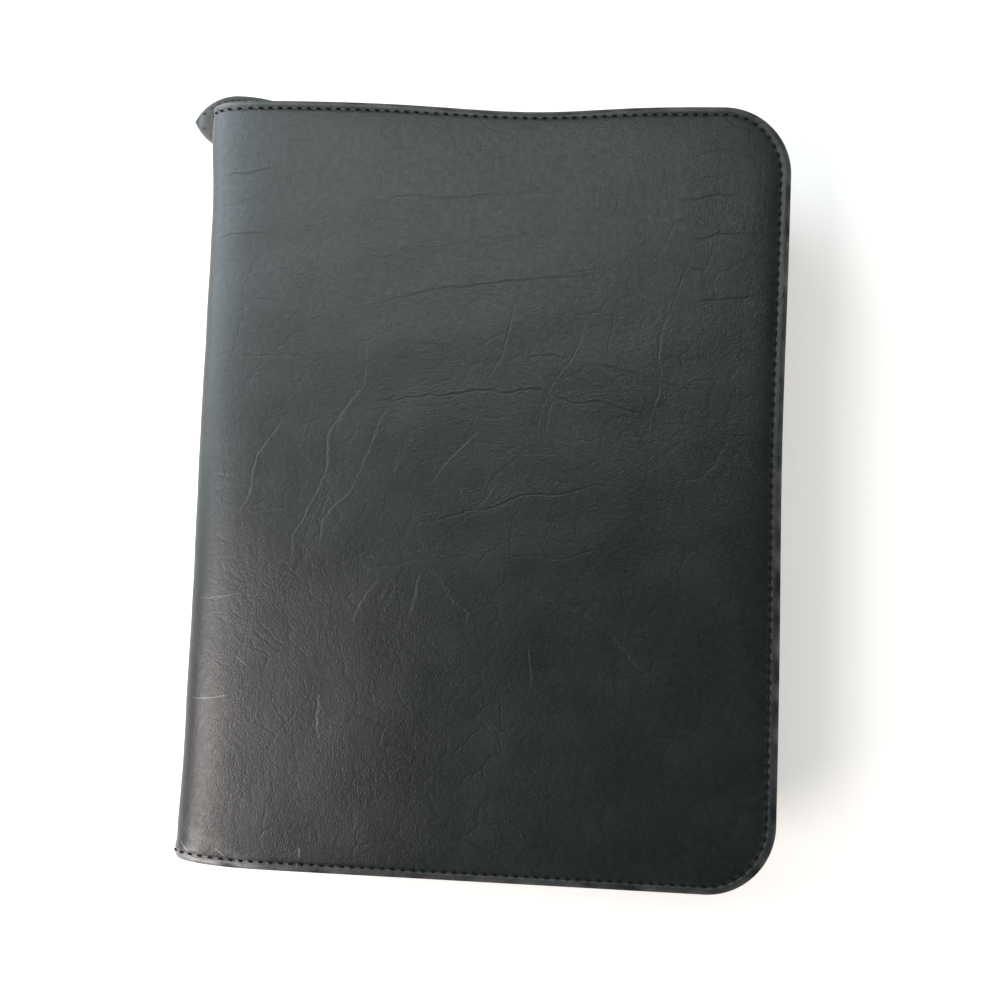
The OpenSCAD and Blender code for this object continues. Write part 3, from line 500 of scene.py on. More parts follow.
def leatherDepth(u, y, front):
    s = edgeDistance(u, y)
    pull = 0.75 + 0.25 * np.cos(2 * np.pi * edgeRun(u, y) / cover.pitch)  # deepest at the needle holes
    inset = border(cover.stitchIn, u, y)
    drop = border(cover.drop, u, y) * (0.2 + 0.8 * ease((u - 8) / 14))  # hardly any at the ends of the spine
    depth = drop * np.exp(-np.maximum(s - inset, 0) / border(cover.puff, u, y))  # rolls up from the seam
    groove, wide = cover.groove
    depth += groove * pull * hump((s - inset) / wide)
    high, wide = swell.border
    depth -= high * hump((s - inset / 2) / wide)
    inner = ease((s - 5) / 10) * ease(u / 14)
    for (high, length), seed in ((swell.broad, 3 if front else 5), (swell.small, 7 if front else 9)):
        depth -= high * inner * ripple(u, y, length, seed)
    high, wide = swell.spine
    depth -= high * hump(u / wide) * ease((s - 0.5) / 5)
    if front:  # the sewn end of the fold stands out a little at the lower end
        high, wide = swell.heel
        depth -= high * hump((s - cover.stitchIn[0]) / 2.4) * hump((u - 18.0) / wide) * (y < 0)
    else:  # the field lies flat
        depth = np.where(u > uFold, np.maximum(depth, 0.0), depth)
    gap, deep = leatherCrease(u, y, front)
    fold = hump(gap / crease.wide) - hump((gap - crease.lipAt) / crease.lipWide)
    return depth + deep * crease.deep * fold * ease((s - crease.fade) / crease.fade)


def settleFront(p, s):  # the zip side and the top edge have been drawn in and down a little
    x, y, z = np.moveaxis(p, -1, 0)
    width = np.where(x < topDip.x, topDip.left, topDip.right)
    dip = hump((x - topDip.x) / width / 1.2)
    near = ease((y - 60) / 66)
    side = sideDip.inward * hump((y - sideDip.y) / sideDip.wide) * ease((x - 30) / 60)
    droop = topDip.droop * ease((topDip.border - s) / topDip.border) * (y > 0)
    down = dip * (topDip.down * near ** 2 + droop) * (z > zMid)
    heel = hump((x - heelDip.x) / heelDip.wide) * ease((-y - 95) / 30) * ease((z - zMid) / 15)
    ends = np.where(y > 0, flare.top, flare.bottom) * ease((np.abs(y) - 95) / 36)
    ends = ends * ease((flare.x - x) / 12) * ease((z - zMid) / 12)
    return join(x - side - ends, y - topDip.inward * dip * near + heelDip.inward * heel, z - down)


def mirrorBack(p):
    return p * (1, 1, -1) + (0, 0, zTop)


def laid(u, y, depth, s, front):  # point of the sheet, on the front or on the back
    p = wrapPoint(u, y, depth)
    return settleFront(p, s) if front else mirrorBack(p)


def sheetPoint(u, y, lift, front):  # point of the leather's outer face, lifted along the wrap
    return laid(u, y, leatherDepth(u, y, front) - lift, edgeDistance(u, y), front)


def roundedGrid(lead, cornerAt, radius, arcs, reach, edgeRows, step):
    # columns up to the corner and round it, rows in proportion to the sheet's height at each column
    cols = np.r_[lead, cornerAt + radius * np.sin(np.linspace(0, np.pi / 2, arcs))]
    half = yCorner + radius
    edge = np.linspace(0, reach, edgeRows)
    mid = np.linspace(-(half - reach), half - reach, int(2 * (half - reach) / step))
    rows = np.r_[-(half - edge), mid[1:-1], (half - edge)[::-1]] / half
    tall = yCorner + np.sqrt(np.maximum(radius ** 2 - np.maximum(cols - cornerAt, 0) ** 2, 0))
    return np.repeat(cols[:, None], len(rows), 1), rows * tall[:, None]


def rimLoop(cols, rows):  # indices round the open edge: top row out, zip side down, bottom row back
    index = np.arange(cols * rows).reshape(cols, rows)
    return np.r_[index[:, -1], index[-1, ::-1][1:], index[::-1, 0][1:]]


def rimNormal(u, y):  # way out of the sheet at a point of its rim
    across, along = pastCorner(u, y)
    n = join(across, np.sign(y) * along)
    n[(n == 0).all(-1)] = (0, 1)
    n[(np.abs(y) <= yCorner + 1e-6) & (u > uCorner)] = (1, 0)
    return unit(n)


def edgeWearAndSheen(u, y, s, front):  # wear along the cut edge, most at the lower end of the spine, plus painted highlights there and at the top of the fold
    wearAndSheen = 0.25 * hump(s / 1.4) + hump(s / 4.0) * hump((u - 22) / 26) * (y < 0) * (1 if front else 0.4)
    # painted highlight: a pale strip at the top end of the fold, and a little paleness along the whole flange
    wearAndSheen += 0.6 * hump((u - uFold) / 2.5) * ease((y - 112) / 8) + 0.06 * (s < 2.4)
    # painted highlight: a broad pale patch above the stitches at the lower end of the spine, where light
    # falls
    wearAndSheen += 0.45 * hump((s - 6) / 5) * hump((u - 20) / 16) * (y < 0) * front
    return np.clip(wearAndSheen * (0.65 + 0.5 * ripple(u, y, 9.0, 21)), 0, 1) * (0.3 + 0.7 * ease((u - 4) / 8))


# cut edge: round over, straight down, round under and back under the hem;
# each ring has its inset, then how far it lies below the outer face, or 0 and its depth in the cover
rim = [(0.1, 0.12, 0), (0.0, 0.4, 0), (0.0, 0, cover.skin - 0.4), (0.2, 0, cover.skin - 0.05),
       (1.5, 0, cover.skin), (cover.hemIn, 0, cover.skin)]
hidden = Sizes(first=3, wearAndSheen=0.05)  # the first ring that is out of sight, and its wear


def leatherHalf(name, front, step):
    lead = np.r_[np.arange(0, uFold, 0.9), np.arange(uFold, uFold + 12, 0.4),
                 np.arange(uFold + 12, uCorner - step / 2, step)]
    u, y = roundedGrid(lead, uCorner, cover.cornerR - cover.gridEdge, 48, 12.0, 35, step)
    cols, rows = u.shape
    points, places = [sheetPoint(u, y, 0, front).reshape(-1, 3)], [join(u, y).reshape(-1, 2)]
    loop = rimLoop(cols, rows)
    lu, ly = u.ravel()[loop], y.ravel()[loop]
    out = rimNormal(lu, ly)
    first = leatherDepth(lu, ly, front)
    for inset, more, level in rim:
        shift = cover.gridEdge - inset
        su, sy = lu + out[:, 0] * shift, ly + out[:, 1] * shift
        points.append(laid(su, sy, level or first + more, min(inset, 1.0), front))
        places.append(join(su, sy + np.sign(sy) * level))
    # inner face of the padding, level with the hem: every column, few of the rows
    pick = np.linspace(0, rows - 1, cover.innerRows).round().astype(int)
    iu = (u + shift * out[:cols, :1])[:-1, pick[1:-1]]
    iy = (y * (1 + shift * out[:cols, 1:] / y[:, -1:]))[:-1, pick[1:-1]]
    beyond = np.maximum(edgeDistance(iu, iy) - cover.hemIn + 1.0, 1.0)
    points.append(laid(iu, iy, cover.skin, beyond, front).reshape(-1, 3))
    places.append(join(iu, iy).reshape(-1, 2))
    # faces with many corners close the zip side, the middle of the spine and its two ends
    start = u.size + len(rim) * len(loop)
    rings = np.vstack([loop, np.arange(u.size, start).reshape(len(rim), len(loop))])
    last = rings[-1]
    zipSide = last[cols - 1:cols - 1 + rows][::-1]
    middle = start + np.arange(iu.size).reshape(iu.shape)
    inner = np.column_stack([last[::-1][:cols - 1], middle, last[:cols - 1]])
    closing = [rings[:, 0], rings[::-1, -1]]
    for k, (low, high) in enumerate(zip(pick[:-1], pick[1:])):
        closing.append(np.r_[inner[-1, k], inner[-1, k + 1], zipSide[low:high + 1][::-1]])
        closing.append(np.r_[np.arange(low, high + 1), inner[0, k + 1], inner[0, k]])
    faces = np.vstack([gridFaces(cols, rows), cells(rings.T), cells(inner.T)])
    flat = np.vstack(places)
    fu, fy = flat.T
    s = np.r_[edgeDistance(u, y).ravel(), np.zeros(len(flat) - u.size)]
    wearAndSheen = edgeWearAndSheen(fu, fy, s, front)
    wearAndSheen[u.size + hidden.first * len(loop):] = hidden.wearAndSheen
    gap, deep = leatherCrease(fu, fy, front)
    shown = crease.shown
    marks = {"wearAndSheen": wearAndSheen, "crease": np.clip(gap, -shown, shown),
             "creaseDeep": deep * ease((s - crease.fade) / crease.fade)}
    if front:
        gap, deep = creaseField(frontX(fu), fy, scuffs, 81)
        marks.update(scuff=np.clip(gap, -shown, shown), scuffDeep=deep)
    else:
        flat = flat * (-1, 1)
    return addPiece(name, np.vstack(points), faces, leatherBlack, flat, marks, closing, flip=not front)


def stitches(name, finish, centre, along, out, thread, rings=6, sides=6):
    # short threads: radius r (1 - a^4)^(1/2) for a from -1 to 1, bowed so that both ends dive in
    length, radius = thread
    along, out = unit(along), unit(out)
    side = unit(np.cross(out, along))
    a = np.linspace(-1, 1, rings)
    angle = np.linspace(0, 2 * np.pi, sides, endpoint=False)
    r = radius * np.sqrt(np.maximum(1 - a ** 4, 0))
    bow = 0.5 * radius * (1 - a * a) - 0.9 * radius * a ** 4
    middle = centre[:, None] + a[:, None] * along[:, None] * length / 2 + bow[:, None] * out[:, None]
    ring = np.cos(angle)[:, None] * side[:, None, None] + np.sin(angle)[:, None] * out[:, None, None]
    points = middle[:, :, None] + r[:, None, None] * ring
    number = np.arange(len(centre))[:, None, None]
    faces = gridFaces(rings, sides, True)[:, ::-1] + number * rings * sides
    flat = join(a[:, None] * length / 2 + number, angle * radius)
    return addPiece(name, points, faces.reshape(-1, 4), finish, flat, weld=True)


def stitchLine(front):  # middle of each thread of the border, its heading and the way out
    level, side = cover.stitchIn
    mean = cover.cornerR - (level + side) / 2
    turnEnd = uCorner + mean * np.pi / 2
    whole = 2 * (turnEnd + yCorner)
    run = (np.arange(int(whole / cover.pitch)) + 0.5) * cover.pitch
    upper = run < whole / 2
    half = np.where(upper, run, whole - run)
    theta = np.clip((half - uCorner) / mean, 0, np.pi / 2)
    r = cover.cornerR - level - (side - level) * np.sin(theta) ** 2
    u = np.minimum(half, uCorner) + r * np.sin(theta)
    y = yCorner + r * np.cos(theta) - np.maximum(half - turnEnd, 0)
    y = np.where(upper, y, -y)
    reach, lift, tangentLift = 0.3, 0.05, 0.12
    du, dy = reach * np.where(upper, np.cos(theta), -np.cos(theta)), -reach * np.sin(theta)

    def chord(a, b):
        return sheetPoint(u + a, y + b, tangentLift, front) - sheetPoint(u - a, y - b, tangentLift, front)

    ahead, beside = chord(du, dy), chord(-dy, du)
    out = np.cross(ahead, beside) * (1 if front else -1)
    return sheetPoint(u, y, lift, front), unit(ahead) - cover.slant * unit(beside), out


# where the leather turns at the fold; bendFront and bendBack take these points but only bake each piece's
# transform, with no bend
foldRound = 8.5
foldStart, foldEnd = (xSpine, zTop - foldRound), (xSpine + foldRound, zTop)


def bendFront(piece, start=foldStart, end=foldEnd):
    start[0] * mm
    start[1] * mm
    end[0] * mm
    end[1] * mm
    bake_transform(piece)


def bendBack(piece, start=foldStart, end=foldEnd):
    start[0] * mm
    (zTop - start[1]) * mm
    end[0] * mm
    (zTop - end[1]) * mm
    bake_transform(piece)


frontLeather = leatherHalf("front_cover_leather", True, 0.95)
backLeather = leatherHalf("back_cover_leather", False, 1.3)
for piece, bend in ((frontLeather, bendFront), (backLeather, bendBack)):
    bend(piece)
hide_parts("front_leather", "front_padding", "spine_leather")
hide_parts("back_leather", "back_padding", "spine_padding")
for name, bend in (("front_border_stitches", bendFront), ("back_border_stitches", bendBack)):
    piece = stitches(name, threadBlack, *stitchLine(bend is bendFront), cover.thread)
    bend(piece)
print("leather:", len(frontLeather.data.polygons), "faces in front")


def slab(face, back):  # closed piece between two grids of one size, with the edge all round
    rows, cols = face.shape[:2]
    count = rows * cols
    index = np.arange(count).reshape(rows, cols)
    loop = np.r_[index[0, :-1], index[:-1, -1], index[-1, :0:-1], index[:0:-1, 0]]
    ahead = np.roll(loop, -1)
    rim = join(loop, ahead, ahead + count, loop + count)
    faces = np.vstack([gridFaces(rows, cols), gridFaces(rows, cols, first=count)[:, ::-1], rim])
    return np.concatenate([face.reshape(-1, 3), back.reshape(-1, 3)]), faces


# linings: cloth from the middle of the spine, into the fold and over the board
lining = Sizes(inset=4.5, thick=0.7, step=1.6, pucker=0.1, turn=2.3)
# its way from the middle of the spine: distance from the spine's outer face, height
liningBend = [(5.2, zMid), (5.2, 36.5), (5.05, 37.6), (4.65, 39.2), (4.2, 40.6), (4.05, 41.3), (4.1, 41.9),
              (4.7, 41.95), (5.4, 41.8), (6.8, 41.35), (8.4, 40.95), (9.5, 40.8),
              (cover.width - lining.inset, 40.8)]


def liningHalf(name, front):
    bend = np.array(liningBend) + [xSpine, 0]
    run = pathRun(bend)
    radius = cover.cornerR - lining.inset
    cornerAt = run[-1] - radius
    lead = np.r_[np.arange(0, run[-2] + 4, 0.7), np.arange(run[-2] + 4, cornerAt - 0.8, lining.step)]
    u, y = roundedGrid(lead, cornerAt, radius, 20, 6.0, 7, lining.step)
    x, z = np.interp(u, run, bend[:, 0]), np.interp(u, run, bend[:, 1])
    along = unit(join(np.gradient(x[:, 0], u[:, 0]), np.gradient(z[:, 0], u[:, 0])))
    out = join(-along[:, 1], 0, along[:, 0])[:, None]
    edge = np.minimum(yCorner + radius - np.abs(y), run[-1] - u)
    slack = lining.pucker * ripple(u, y, 26.0, 31 if front else 33) * ease(edge / 8)
    curl = 0.3 * (1 - ease(edge / 1.0))
    face = join(x, y, z) + (slack + curl)[..., None] * out
    # the edge is turned under on both sides of the fold
    inward = x - xSpine
    beside = np.where(u < run[1], 1 - ease(u - run[1] + 1.5),
                      ease(inward - 9) * (1 - ease((inward - 10.5) / 1.5)))
    turned = lining.turn * (edge < 0.01) * beside
    back = join(x, y, z) + (lining.thick + turned)[..., None] * out
    points, faces = slab(face, back)
    piece = addPiece(name, points if front else mirrorBack(points), faces, clothLining, bothFaces(u, y),
                     flip=front, crisp=True)
    (bendFront if front else bendBack)(piece, tuple(bend[1]), tuple(bend[-2]))
    2 * (yCorner + radius) * mm
    return piece


frontLining, backLining = liningHalf("front_lining_cloth", True), liningHalf("back_lining_cloth", False)
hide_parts("front_lining", "spine_lining")
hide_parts("back_lining")
print("linings made")

# zip tapes: hem under the leather border, then a wall down to the teeth
tape = Sizes(start=xSpine + 11.0, thick=0.8, wall=3.5, hem=0.3, top=2.5, edge=22.2, step=1.5)


def borderPath(start, step, arcs=14):  # points of the cut edge from the top of the spine round to the bottom
    theta = np.linspace(0, np.pi / 2, arcs)
    turn = join(np.sin(theta), np.cos(theta))
    xCorner = xEdge - cover.cornerR
    top = np.arange(start, xCorner, step)
    side = np.arange(yCorner, -yCorner, -step)[1:]
    upper = (xCorner, yCorner) + cover.cornerR * turn
    places = np.vstack([join(top, yEdge), upper, join(xEdge, side), (upper * [1, -1])[::-1],
                        join(top[::-1], -yEdge)])
    ways = np.vstack([join(0 * top, 1), turn, join(1, 0 * side), (turn * [1, -1])[::-1], join(0 * top, -1)])
    return places, ways, pathRun(places)


def zipTape(name, front):
    places, ways, run = borderPath(tape.start, tape.step)
    wall = np.linspace(tape.top + tape.thick + 0.5, tape.edge, 15)
    t = tape.thick
    hem = [tape.hem, 1.4, 2.4, 3.1]
    outer = np.array([(i, tape.top + t) for i in hem] + [(3.42, 3.38)] + [(tape.wall, d) for d in wall])
    inner = np.array([(i, tape.top) for i in hem] + [(4.2, 2.6)] + [(tape.wall + t, d) for d in wall])

    def place(profile):
        inset, depth = profile.T
        hold = ease((3.4 - inset) / 2.4) * (depth < 4)
        free = ease((depth - 4) / 5) * ease((20 - depth) / 5)
        inset = inset + 0.22 * free * ripple(run[:, None], depth, 30.0, 41 if front else 43)
        x = places[:, :1] - inset * ways[:, :1]
        y = places[:, 1:] - inset * ways[:, 1:]
        p = join(x, y, zTop - depth)
        if front:  # the hem follows the leather's drawn-in edge
            p = p + (settleFront(p, 0.6) - p) * hold[:, None]
        return p if front else mirrorBack(p)

    points, faces = slab(place(outer), place(inner))
    length = pathRun(outer)
    piece = addPiece(name, points, faces, clothTape, bothFaces(run[:, None], length),
                     flip=not front, crisp=True)
    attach(piece, "front_cover" if front else "back_cover")
    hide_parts("front_zip_tape" if front else "back_zip_tape")


zipTape("front_tape_cloth", True)
zipTape("back_tape_cloth", False)
print("zip tapes made")

# pockets: leather sheets sewn on three sides, with a turned hem along the mouth;
# their heights at the spine side and at the zip side
pockets = {"front_slip_pocket": (150.0, 120.0), "upper_card_pocket": (80.0, 80.0),
           "middle_card_pocket": (62.0, 62.0), "lower_card_pocket": (44.0, 44.0),
           "back_slip_pocket": (150.0, 120.0)}
pocket = Sizes(hem=6.0, seam=2.0, pitch=3.0, curl=0.35, slack=0.1, thread=(1.9, 0.24), hemEnd=3.4, top=1.5,
               apart=40.0)


def pocketPiece(name, tall):
    low, high = np.array(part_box(name)) / mm
    mouth = low[1] + np.array(tall)
    front = low[2] > zMid
    body = "front_cover" if front else "back_cover"
    width, seed = high[0] - low[0], 50 + list(pockets).index(name)

    def mouthAt(x):
        return mouth[0] + (mouth[1] - mouth[0]) * (x - low[0]) / width

    def spread(length):  # steps of 0.35 mm near both ends, about 2 mm between
        edge = np.linspace(0, 7, 21)
        return np.r_[edge, np.linspace(7, length - 7, int(length / 2))[1:-1], length - edge[::-1]]

    def faceZ(x, y):
        side = np.minimum(np.minimum(x - low[0], high[0] - x), y - low[1])
        lip = mouthAt(x) - y
        sunk = pocket.curl * (1 - ease(np.minimum(side, lip) / 0.9))
        sunk += 0.16 * hump((side - pocket.seam) / 0.5) + 0.14 * hump((lip - pocket.hem) / 0.45)
        sunk -= 0.1 * ease((pocket.hem - lip) / 1.2)
        sunk += pocket.slack * ripple(x, y, 30.0, seed) * ease(side / 6) * ease(lip / 6)
        return low[2] + sunk if front else high[2] - sunk

    across = spread(width) + low[0]
    share = spread(100.0) / 100.0
    x = np.repeat(across[:, None], len(share), 1)
    y = low[1] + share * (mouthAt(x) - low[1])
    face = join(x, y, faceZ(x, y))
    back = join(x, y, high[2] if front else low[2])
    points, faces = slab(face, back)
    flat = bothFaces(x, y) + seed * pocket.apart
    edge = np.minimum(np.minimum(x - low[0], high[0] - x), mouthAt(x) - y)
    wearAndSheen = np.tile(0.35 * hump(edge / 0.9).ravel(), 2)
    piece = addPiece(name + "_leather", points, faces, leatherPocket, flat, {"wearAndSheen": wearAndSheen},
                     flip=front, crisp=True)
    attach(piece, body)
    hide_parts(name)
    width * mm
    width * (np.mean(mouth) - low[1]) * mm * mm
    # seam threads down the spine side, along the bottom, up the zip side, and along the hem
    left, right, foot = low[0] + pocket.seam, high[0] - pocket.seam, low[1] + pocket.seam
    ends = mouthAt(low[0]), mouthAt(high[0])
    corners = [(left, ends[0] - pocket.top), (left, foot), (right, foot), (right, ends[1] - pocket.top)]
    hemLine = (low[0] + pocket.hemEnd, ends[0] - pocket.hem), (high[0] - pocket.hemEnd, ends[1] - pocket.hem)
    rows = [*zip(corners[:-1], corners[1:]), hemLine]
    centres, ways = [], []
    for a, b in rows:
        a, b = np.array(a), np.array(b)
        count = int(np.linalg.norm(b - a) / pocket.pitch)
        spot = a + (b - a) * ((np.arange(count) + 0.5) / count)[:, None]
        centres.append(np.column_stack([spot, faceZ(spot[:, 0], spot[:, 1])]))
        ways.append(np.tile(np.append(unit(b - a), 0.0), (count, 1)))
    out = np.array([[0, 0, -1.0 if front else 1.0]])
    threads = stitches(name + "_stitches", threadGrey, np.vstack(centres), np.vstack(ways), out,
                       pocket.thread, 5, 5)
    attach(threads, body)


for name, tall in pockets.items():
    pocketPiece(name, tall)
print("pockets made")

# pen loop: ribbed elastic tube on a sewn strip
pen = Sizes(x=xEdge - 14.6, z=12.2, inner=6.2, outer=7.0, half=13.0, rib=1.3, ribDeep=0.07, strip=(18.0, 0.6),
            base=5.2)


def penLoopPiece():
    angle = np.linspace(0, 2 * np.pi, 72, endpoint=False)
    y = np.linspace(-pen.half, pen.half, 105)
    ribs = pen.ribDeep * (np.cos(2 * np.pi * y / pen.rib) - 1)
    edge = 0.25 * (1 - ease((pen.half - np.abs(y)) / 0.6))
    radius = np.r_[pen.outer + ribs - edge, (pen.inner - ribs + edge)[::-1]]
    places = np.r_[y, y[::-1]]
    x = pen.x + radius[:, None] * np.cos(angle)
    z = pen.z + radius[:, None] * np.sin(angle)
    tube = join(x, places[:, None], z)
    faces = cells(np.pad(np.arange(x.size).reshape(x.shape), (0, 1), mode="wrap"))
    flat = join(places[:, None], angle * pen.outer)
    wide, thick = pen.strip
    sx, sy = np.meshgrid(np.linspace(-wide / 2, wide / 2, 19) + pen.x, y[::4], indexing="ij")
    lift = thick - 0.25 * (1 - ease((wide / 2 - np.abs(sx - pen.x)) / 1.0))
    strip, stripFaces = slab(join(sx, sy, pen.base + lift), join(sx, sy, pen.base))
    piece = addPiece("pen_loop_elastic", np.vstack([tube.reshape(-1, 3), strip]),
                     np.vstack([faces, stripFaces + x.size]), clothElastic,
                     np.vstack([flat.reshape(-1, 2), bothFaces(sy, sx)]), crisp=True)
    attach(piece, "back_cover")
    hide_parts("pen_loop")


penLoopPiece()

# the zip's tail, a ribbon that leaves the wall upright and turns flat on its way, and the tab at its end
tab = Sizes(tip=xSpine - 24.5, tipLong=17.0, long=37.0, y=yEdge + 13.7, tipArc=(18.636, 7.636),
            endArc=(58.05, 47.05), pinch=3.6, seam=2.1, groove=(0.18, 0.45), top=(2.85, 0.85), pitch=2.7,
            thread=(1.7, 0.15))
tab.widest, tab.end = tab.tip + tab.tipLong, tab.tip + tab.long
tail = Sizes(wall=(xSpine + 50.0, yEdge - 2.9), end=(tab.end - 6.0, tab.y), sewn=12.0, drop=21.1,
             wide=14.0, thick=1.0)


def tailPiece():
    t = np.linspace(0, 1, 60)

    def share(a, b):
        return ease((t - a) / (b - a))

    (x0, y0), (x1, y1) = tail.wall, tail.end
    path = join(x0 + (x1 - x0) * t, y0 + (y1 - y0) * share(tail.sewn / (x0 - x1), 0.8),
                zMid - tail.drop * share(0.35, 0.88))
    ahead = unit(np.gradient(path, axis=0))
    level = unit(join(-ahead[:, 1], ahead[:, 0], 0))
    turn = np.radians(90) * share(0.3, 0.85)
    wide = np.cos(turn)[:, None] * (0, 0, 1.0) + np.sin(turn)[:, None] * level
    wide = unit(wide - (wide * ahead).sum(-1, keepdims=True) * ahead)
    thick = np.cross(ahead, wide)
    s = np.linspace(-1, 1, 15)
    belly = 0.12 * np.sin(6 * t)[:, None] * (1 - s * s)
    middle = path[:, None] + s[:, None] * wide[:, None] * tail.wide / 2 + belly[..., None] * thick[:, None]
    half = tail.thick / 2 * (0.55 + 0.45 * ease((1 - np.abs(s)) / 0.08))
    half = half[:, None] * thick[:, None]
    points, faces = slab(middle - half, middle + half)
    run = pathRun(path)
    flat = bothFaces(run[:, None], s * tail.wide / 2)
    piece = addPiece("zip_tail_cloth", points, faces, clothTape, flat, flip=True, crisp=True)
    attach(piece, "back_cover")
    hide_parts("zip_tail")


tailPiece()


# the tab's two leaves of leather are pinched together along their stitched rim

def tabHalf(x):  # half width: one arc from the tip to the widest place, a flatter one from there to the end
    d = np.abs(x - tab.widest)
    r, off = (np.where(x < tab.widest, one, other) for one, other in zip(tab.tipArc, tab.endArc))
    return np.maximum(np.sqrt(np.maximum(r * r - d * d, 0)) - off, 0)


def tabRise(x, y):  # 0 at the rim, 1 over the ribbon
    across = tabHalf(x) - np.abs(y - tab.y)
    return ease(np.minimum(np.minimum(across, 0.75 * (x - tab.tip)), tab.end - x + 2.0) / tab.pinch)


def tabGroove(across):  # furrow under the seam, by the distance in from the rim
    return tab.groove[0] * hump((across - tab.seam) / tab.groove[1])


def tabLeaf(name, node, upper):
    lengthways = tab.tip + (tab.end - tab.tip) * (1 - np.cos(np.linspace(0.0, np.pi, 70))) / 2
    s = np.sin(np.linspace(-np.pi / 2, np.pi / 2, 41))
    x = np.repeat(lengthways[:, None], len(s), 1)
    y = tab.y + s * tabHalf(x)
    rise = tabRise(x, y)
    across = tabHalf(x) - np.abs(y - tab.y)
    groove = tabGroove(across) + 0.2 * (1 - ease(across / 0.7))
    if upper:
        face, back = tab.top[0] + tab.top[1] * rise - groove, 1.95 + 0.55 * rise
    else:
        face, back = 1.9 - 0.6 * rise, 0.1 + 0.85 * (1 - rise) + groove * 0.5
    points, faces = slab(join(x, y, face), join(x, y, back))
    wearAndSheen = np.tile((0.3 * hump(across / 0.9) + 0.06).ravel(), 2)
    piece = addPiece(name, points, faces, leatherTab, bothFaces(x, y), {"wearAndSheen": wearAndSheen}, weld=True, crisp=True)
    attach(piece, "back_cover")
    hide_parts(node)


tabLeaf("tab_upper_leather", "tab_upper_leaf", True)
tabLeaf("tab_lower_leather", "tab_lower_leaf", False)


def tabStitches():
    x = np.arange(tab.tip + 4.2, tab.end - 1.0, tab.pitch)
    lean = (tabHalf(x + 0.1) - tabHalf(x - 0.1)) / 0.2
    seam = tabHalf(x) - tab.seam * np.sqrt(1 + lean * lean)
    keep = seam > 0.6
    x, lean, seam = x[keep], lean[keep], seam[keep]
    centres, ways = [], []
    for sign in (1, -1):
        y = tab.y + sign * seam
        z = tab.top[0] + tab.top[1] * tabRise(x, y) - tabGroove(tabHalf(x) - seam) + 0.05
        centres.append(join(x, y, z))
        ways.append(join(1, sign * lean, 0))
    out = np.array([[0, 0, 1.0]])
    piece = stitches("tab_stitches", threadTab, np.vstack(centres), np.vstack(ways), out, tab.thread)
    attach(piece, "back_cover")


tabStitches()
print("tail and tab made")

# metal and board nodes keep their CAD shape and take a finish
boards = ("front_board", "spine_board", "back_board")
zipMetal = ("front_zip_teeth", "back_zip_teeth", "front_zip_stops", "back_zip_stops", "zip_slider",
            "zip_pull")
ringMetal = ("ring_cover_plate", "ring_rivets", "front_blade", "back_blade", "front_half_rings",
             "back_half_rings", "top_trigger", "bottom_trigger")
for names, finish in ((boards, greyBoard), (zipMetal, metalZip), (ringMetal, metalRing)):
    for name in names:
        nodes[name].material_slots[0].material = finish


# stage, light and camera

def areaLight(name, place, aim, size, power, colour):
    lamp = bpy.data.lights.new(name, "AREA")
    lamp.shape, lamp.size, lamp.size_y = "RECTANGLE", *size
    lamp.energy, lamp.color = power, colour
    zAxis = unit(np.subtract(place, aim))
    xAxis = unit(np.cross((0, 1, 0), zAxis))
    addObject(name, lamp, place, join(xAxis, np.cross(zAxis, xAxis), zAxis).tolist())


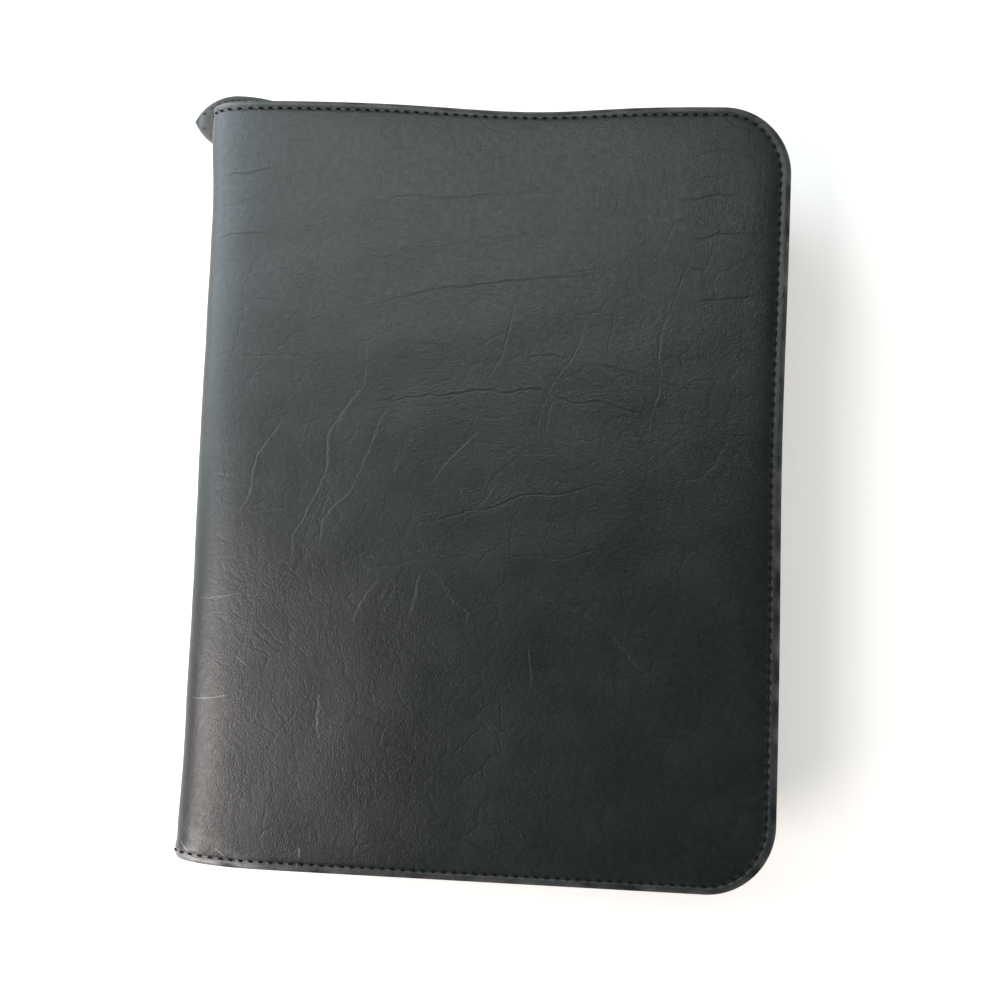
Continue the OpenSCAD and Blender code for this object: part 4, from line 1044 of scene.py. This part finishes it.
# half is in metres; near and fade, in millimetres, are where the floor's glow turns white
stage = Sizes(floor=0.86, glow=0.48, world=0.048, half=4.0, low=-0.05, near=350.0, fade=500.0)
ground = Finish("pale_floor")
tone = ground.noise(ground.place(False), 400.0, 2.0)
floorColour = ground.blend(tone, grey(stage.floor), grey(stage.floor * 1.03, (1.0, 0.995, 0.985)))
lit = ground.node("BsdfDiffuse", None, {"Color": floorColour})
reach = ground.node("VectorMath", {"operation": "LENGTH"}, {0: ground.place(False)}, out=1)
far = ((reach - stage.near) / stage.fade).held()
glowColour = ground.blend(far, grey(stage.glow, (1.0, 0.95, 0.9)), grey(1.0))
glow = ground.node("Emission", None, {"Color": glowColour, "Strength": 1.0})
both = ground.node("AddShader", None, {0: lit, 1: glow})
eye, mirrored, through = ground.rays()
seen = (eye + mirrored + through).least(1.0)
ground.surface(ground.node("MixShader", None, {0: seen, 1: lit, 2: both}))
edge = stage.half / mm
corners = [(-edge, -edge), (edge, -edge), (edge, edge), (-edge, edge)]
floor = addPiece("floor", np.array([(*corner, stage.low) for corner in corners]), np.array([[0, 1, 2, 3]]),
                 ground.material)

# white walls all round for the camera, glass and gloss, a dim ceiling above them
world = bpy.data.worlds.new("studio")
world.use_nodes = True
sky = Finish("studio", world.node_tree)
eye, mirrored, through = sky.rays()
height = sky.parts(sky.node("TexCoord"))[2]
wall = ((0.42 - height) / 0.2).held()
plain = sky.node("Background", None, {"Color": (0.86, 1.0, 1.0, 1), "Strength": stage.world})
white = sky.node("Background", None, {"Color": (1, 1, 1, 1), "Strength": 1.0})
seen = (eye + through + mirrored * wall).least(1.0)
sky.surface(sky.node("MixShader", None, {0: seen, 1: plain, 2: white}), "OutputWorld")
scene.world = world

areaLight("window_high", (-0.35, 0.72, 1.32), (0, 0, 0.03), (1.6, 0.7), 10.0, (0.93, 1.0, 0.98))
areaLight("window_left", (-1.3, 0.74, 0.7), (0, 0.4, 0.03), (1.3, 1.3), 23.0, (0.83, 0.98, 1.08))
areaLight("window_low", (-0.97, -0.46, 1.05), (0, 0, 0.03), (0.7, 0.7), 15.0, (1.06, 0.97, 0.94))

# camera fitted to the front's four corners in the photograph
view = Sizes(place=(0.01767, -0.01609, 0.31618), lens=29.12,
             axes=[[0.998416, -0.03579, 0.043417], [0.037589, 0.998438, -0.04132],
                   [-0.041871, 0.042886, 0.998202]])
lens = bpy.data.cameras.new("camera")
lens.lens, lens.sensor_width, lens.clip_start = view.lens, 36.0, 0.01
scene.camera = addObject("camera", lens, view.place, view.axes)
scene.view_settings.view_transform = "Standard"
print("stage ready")
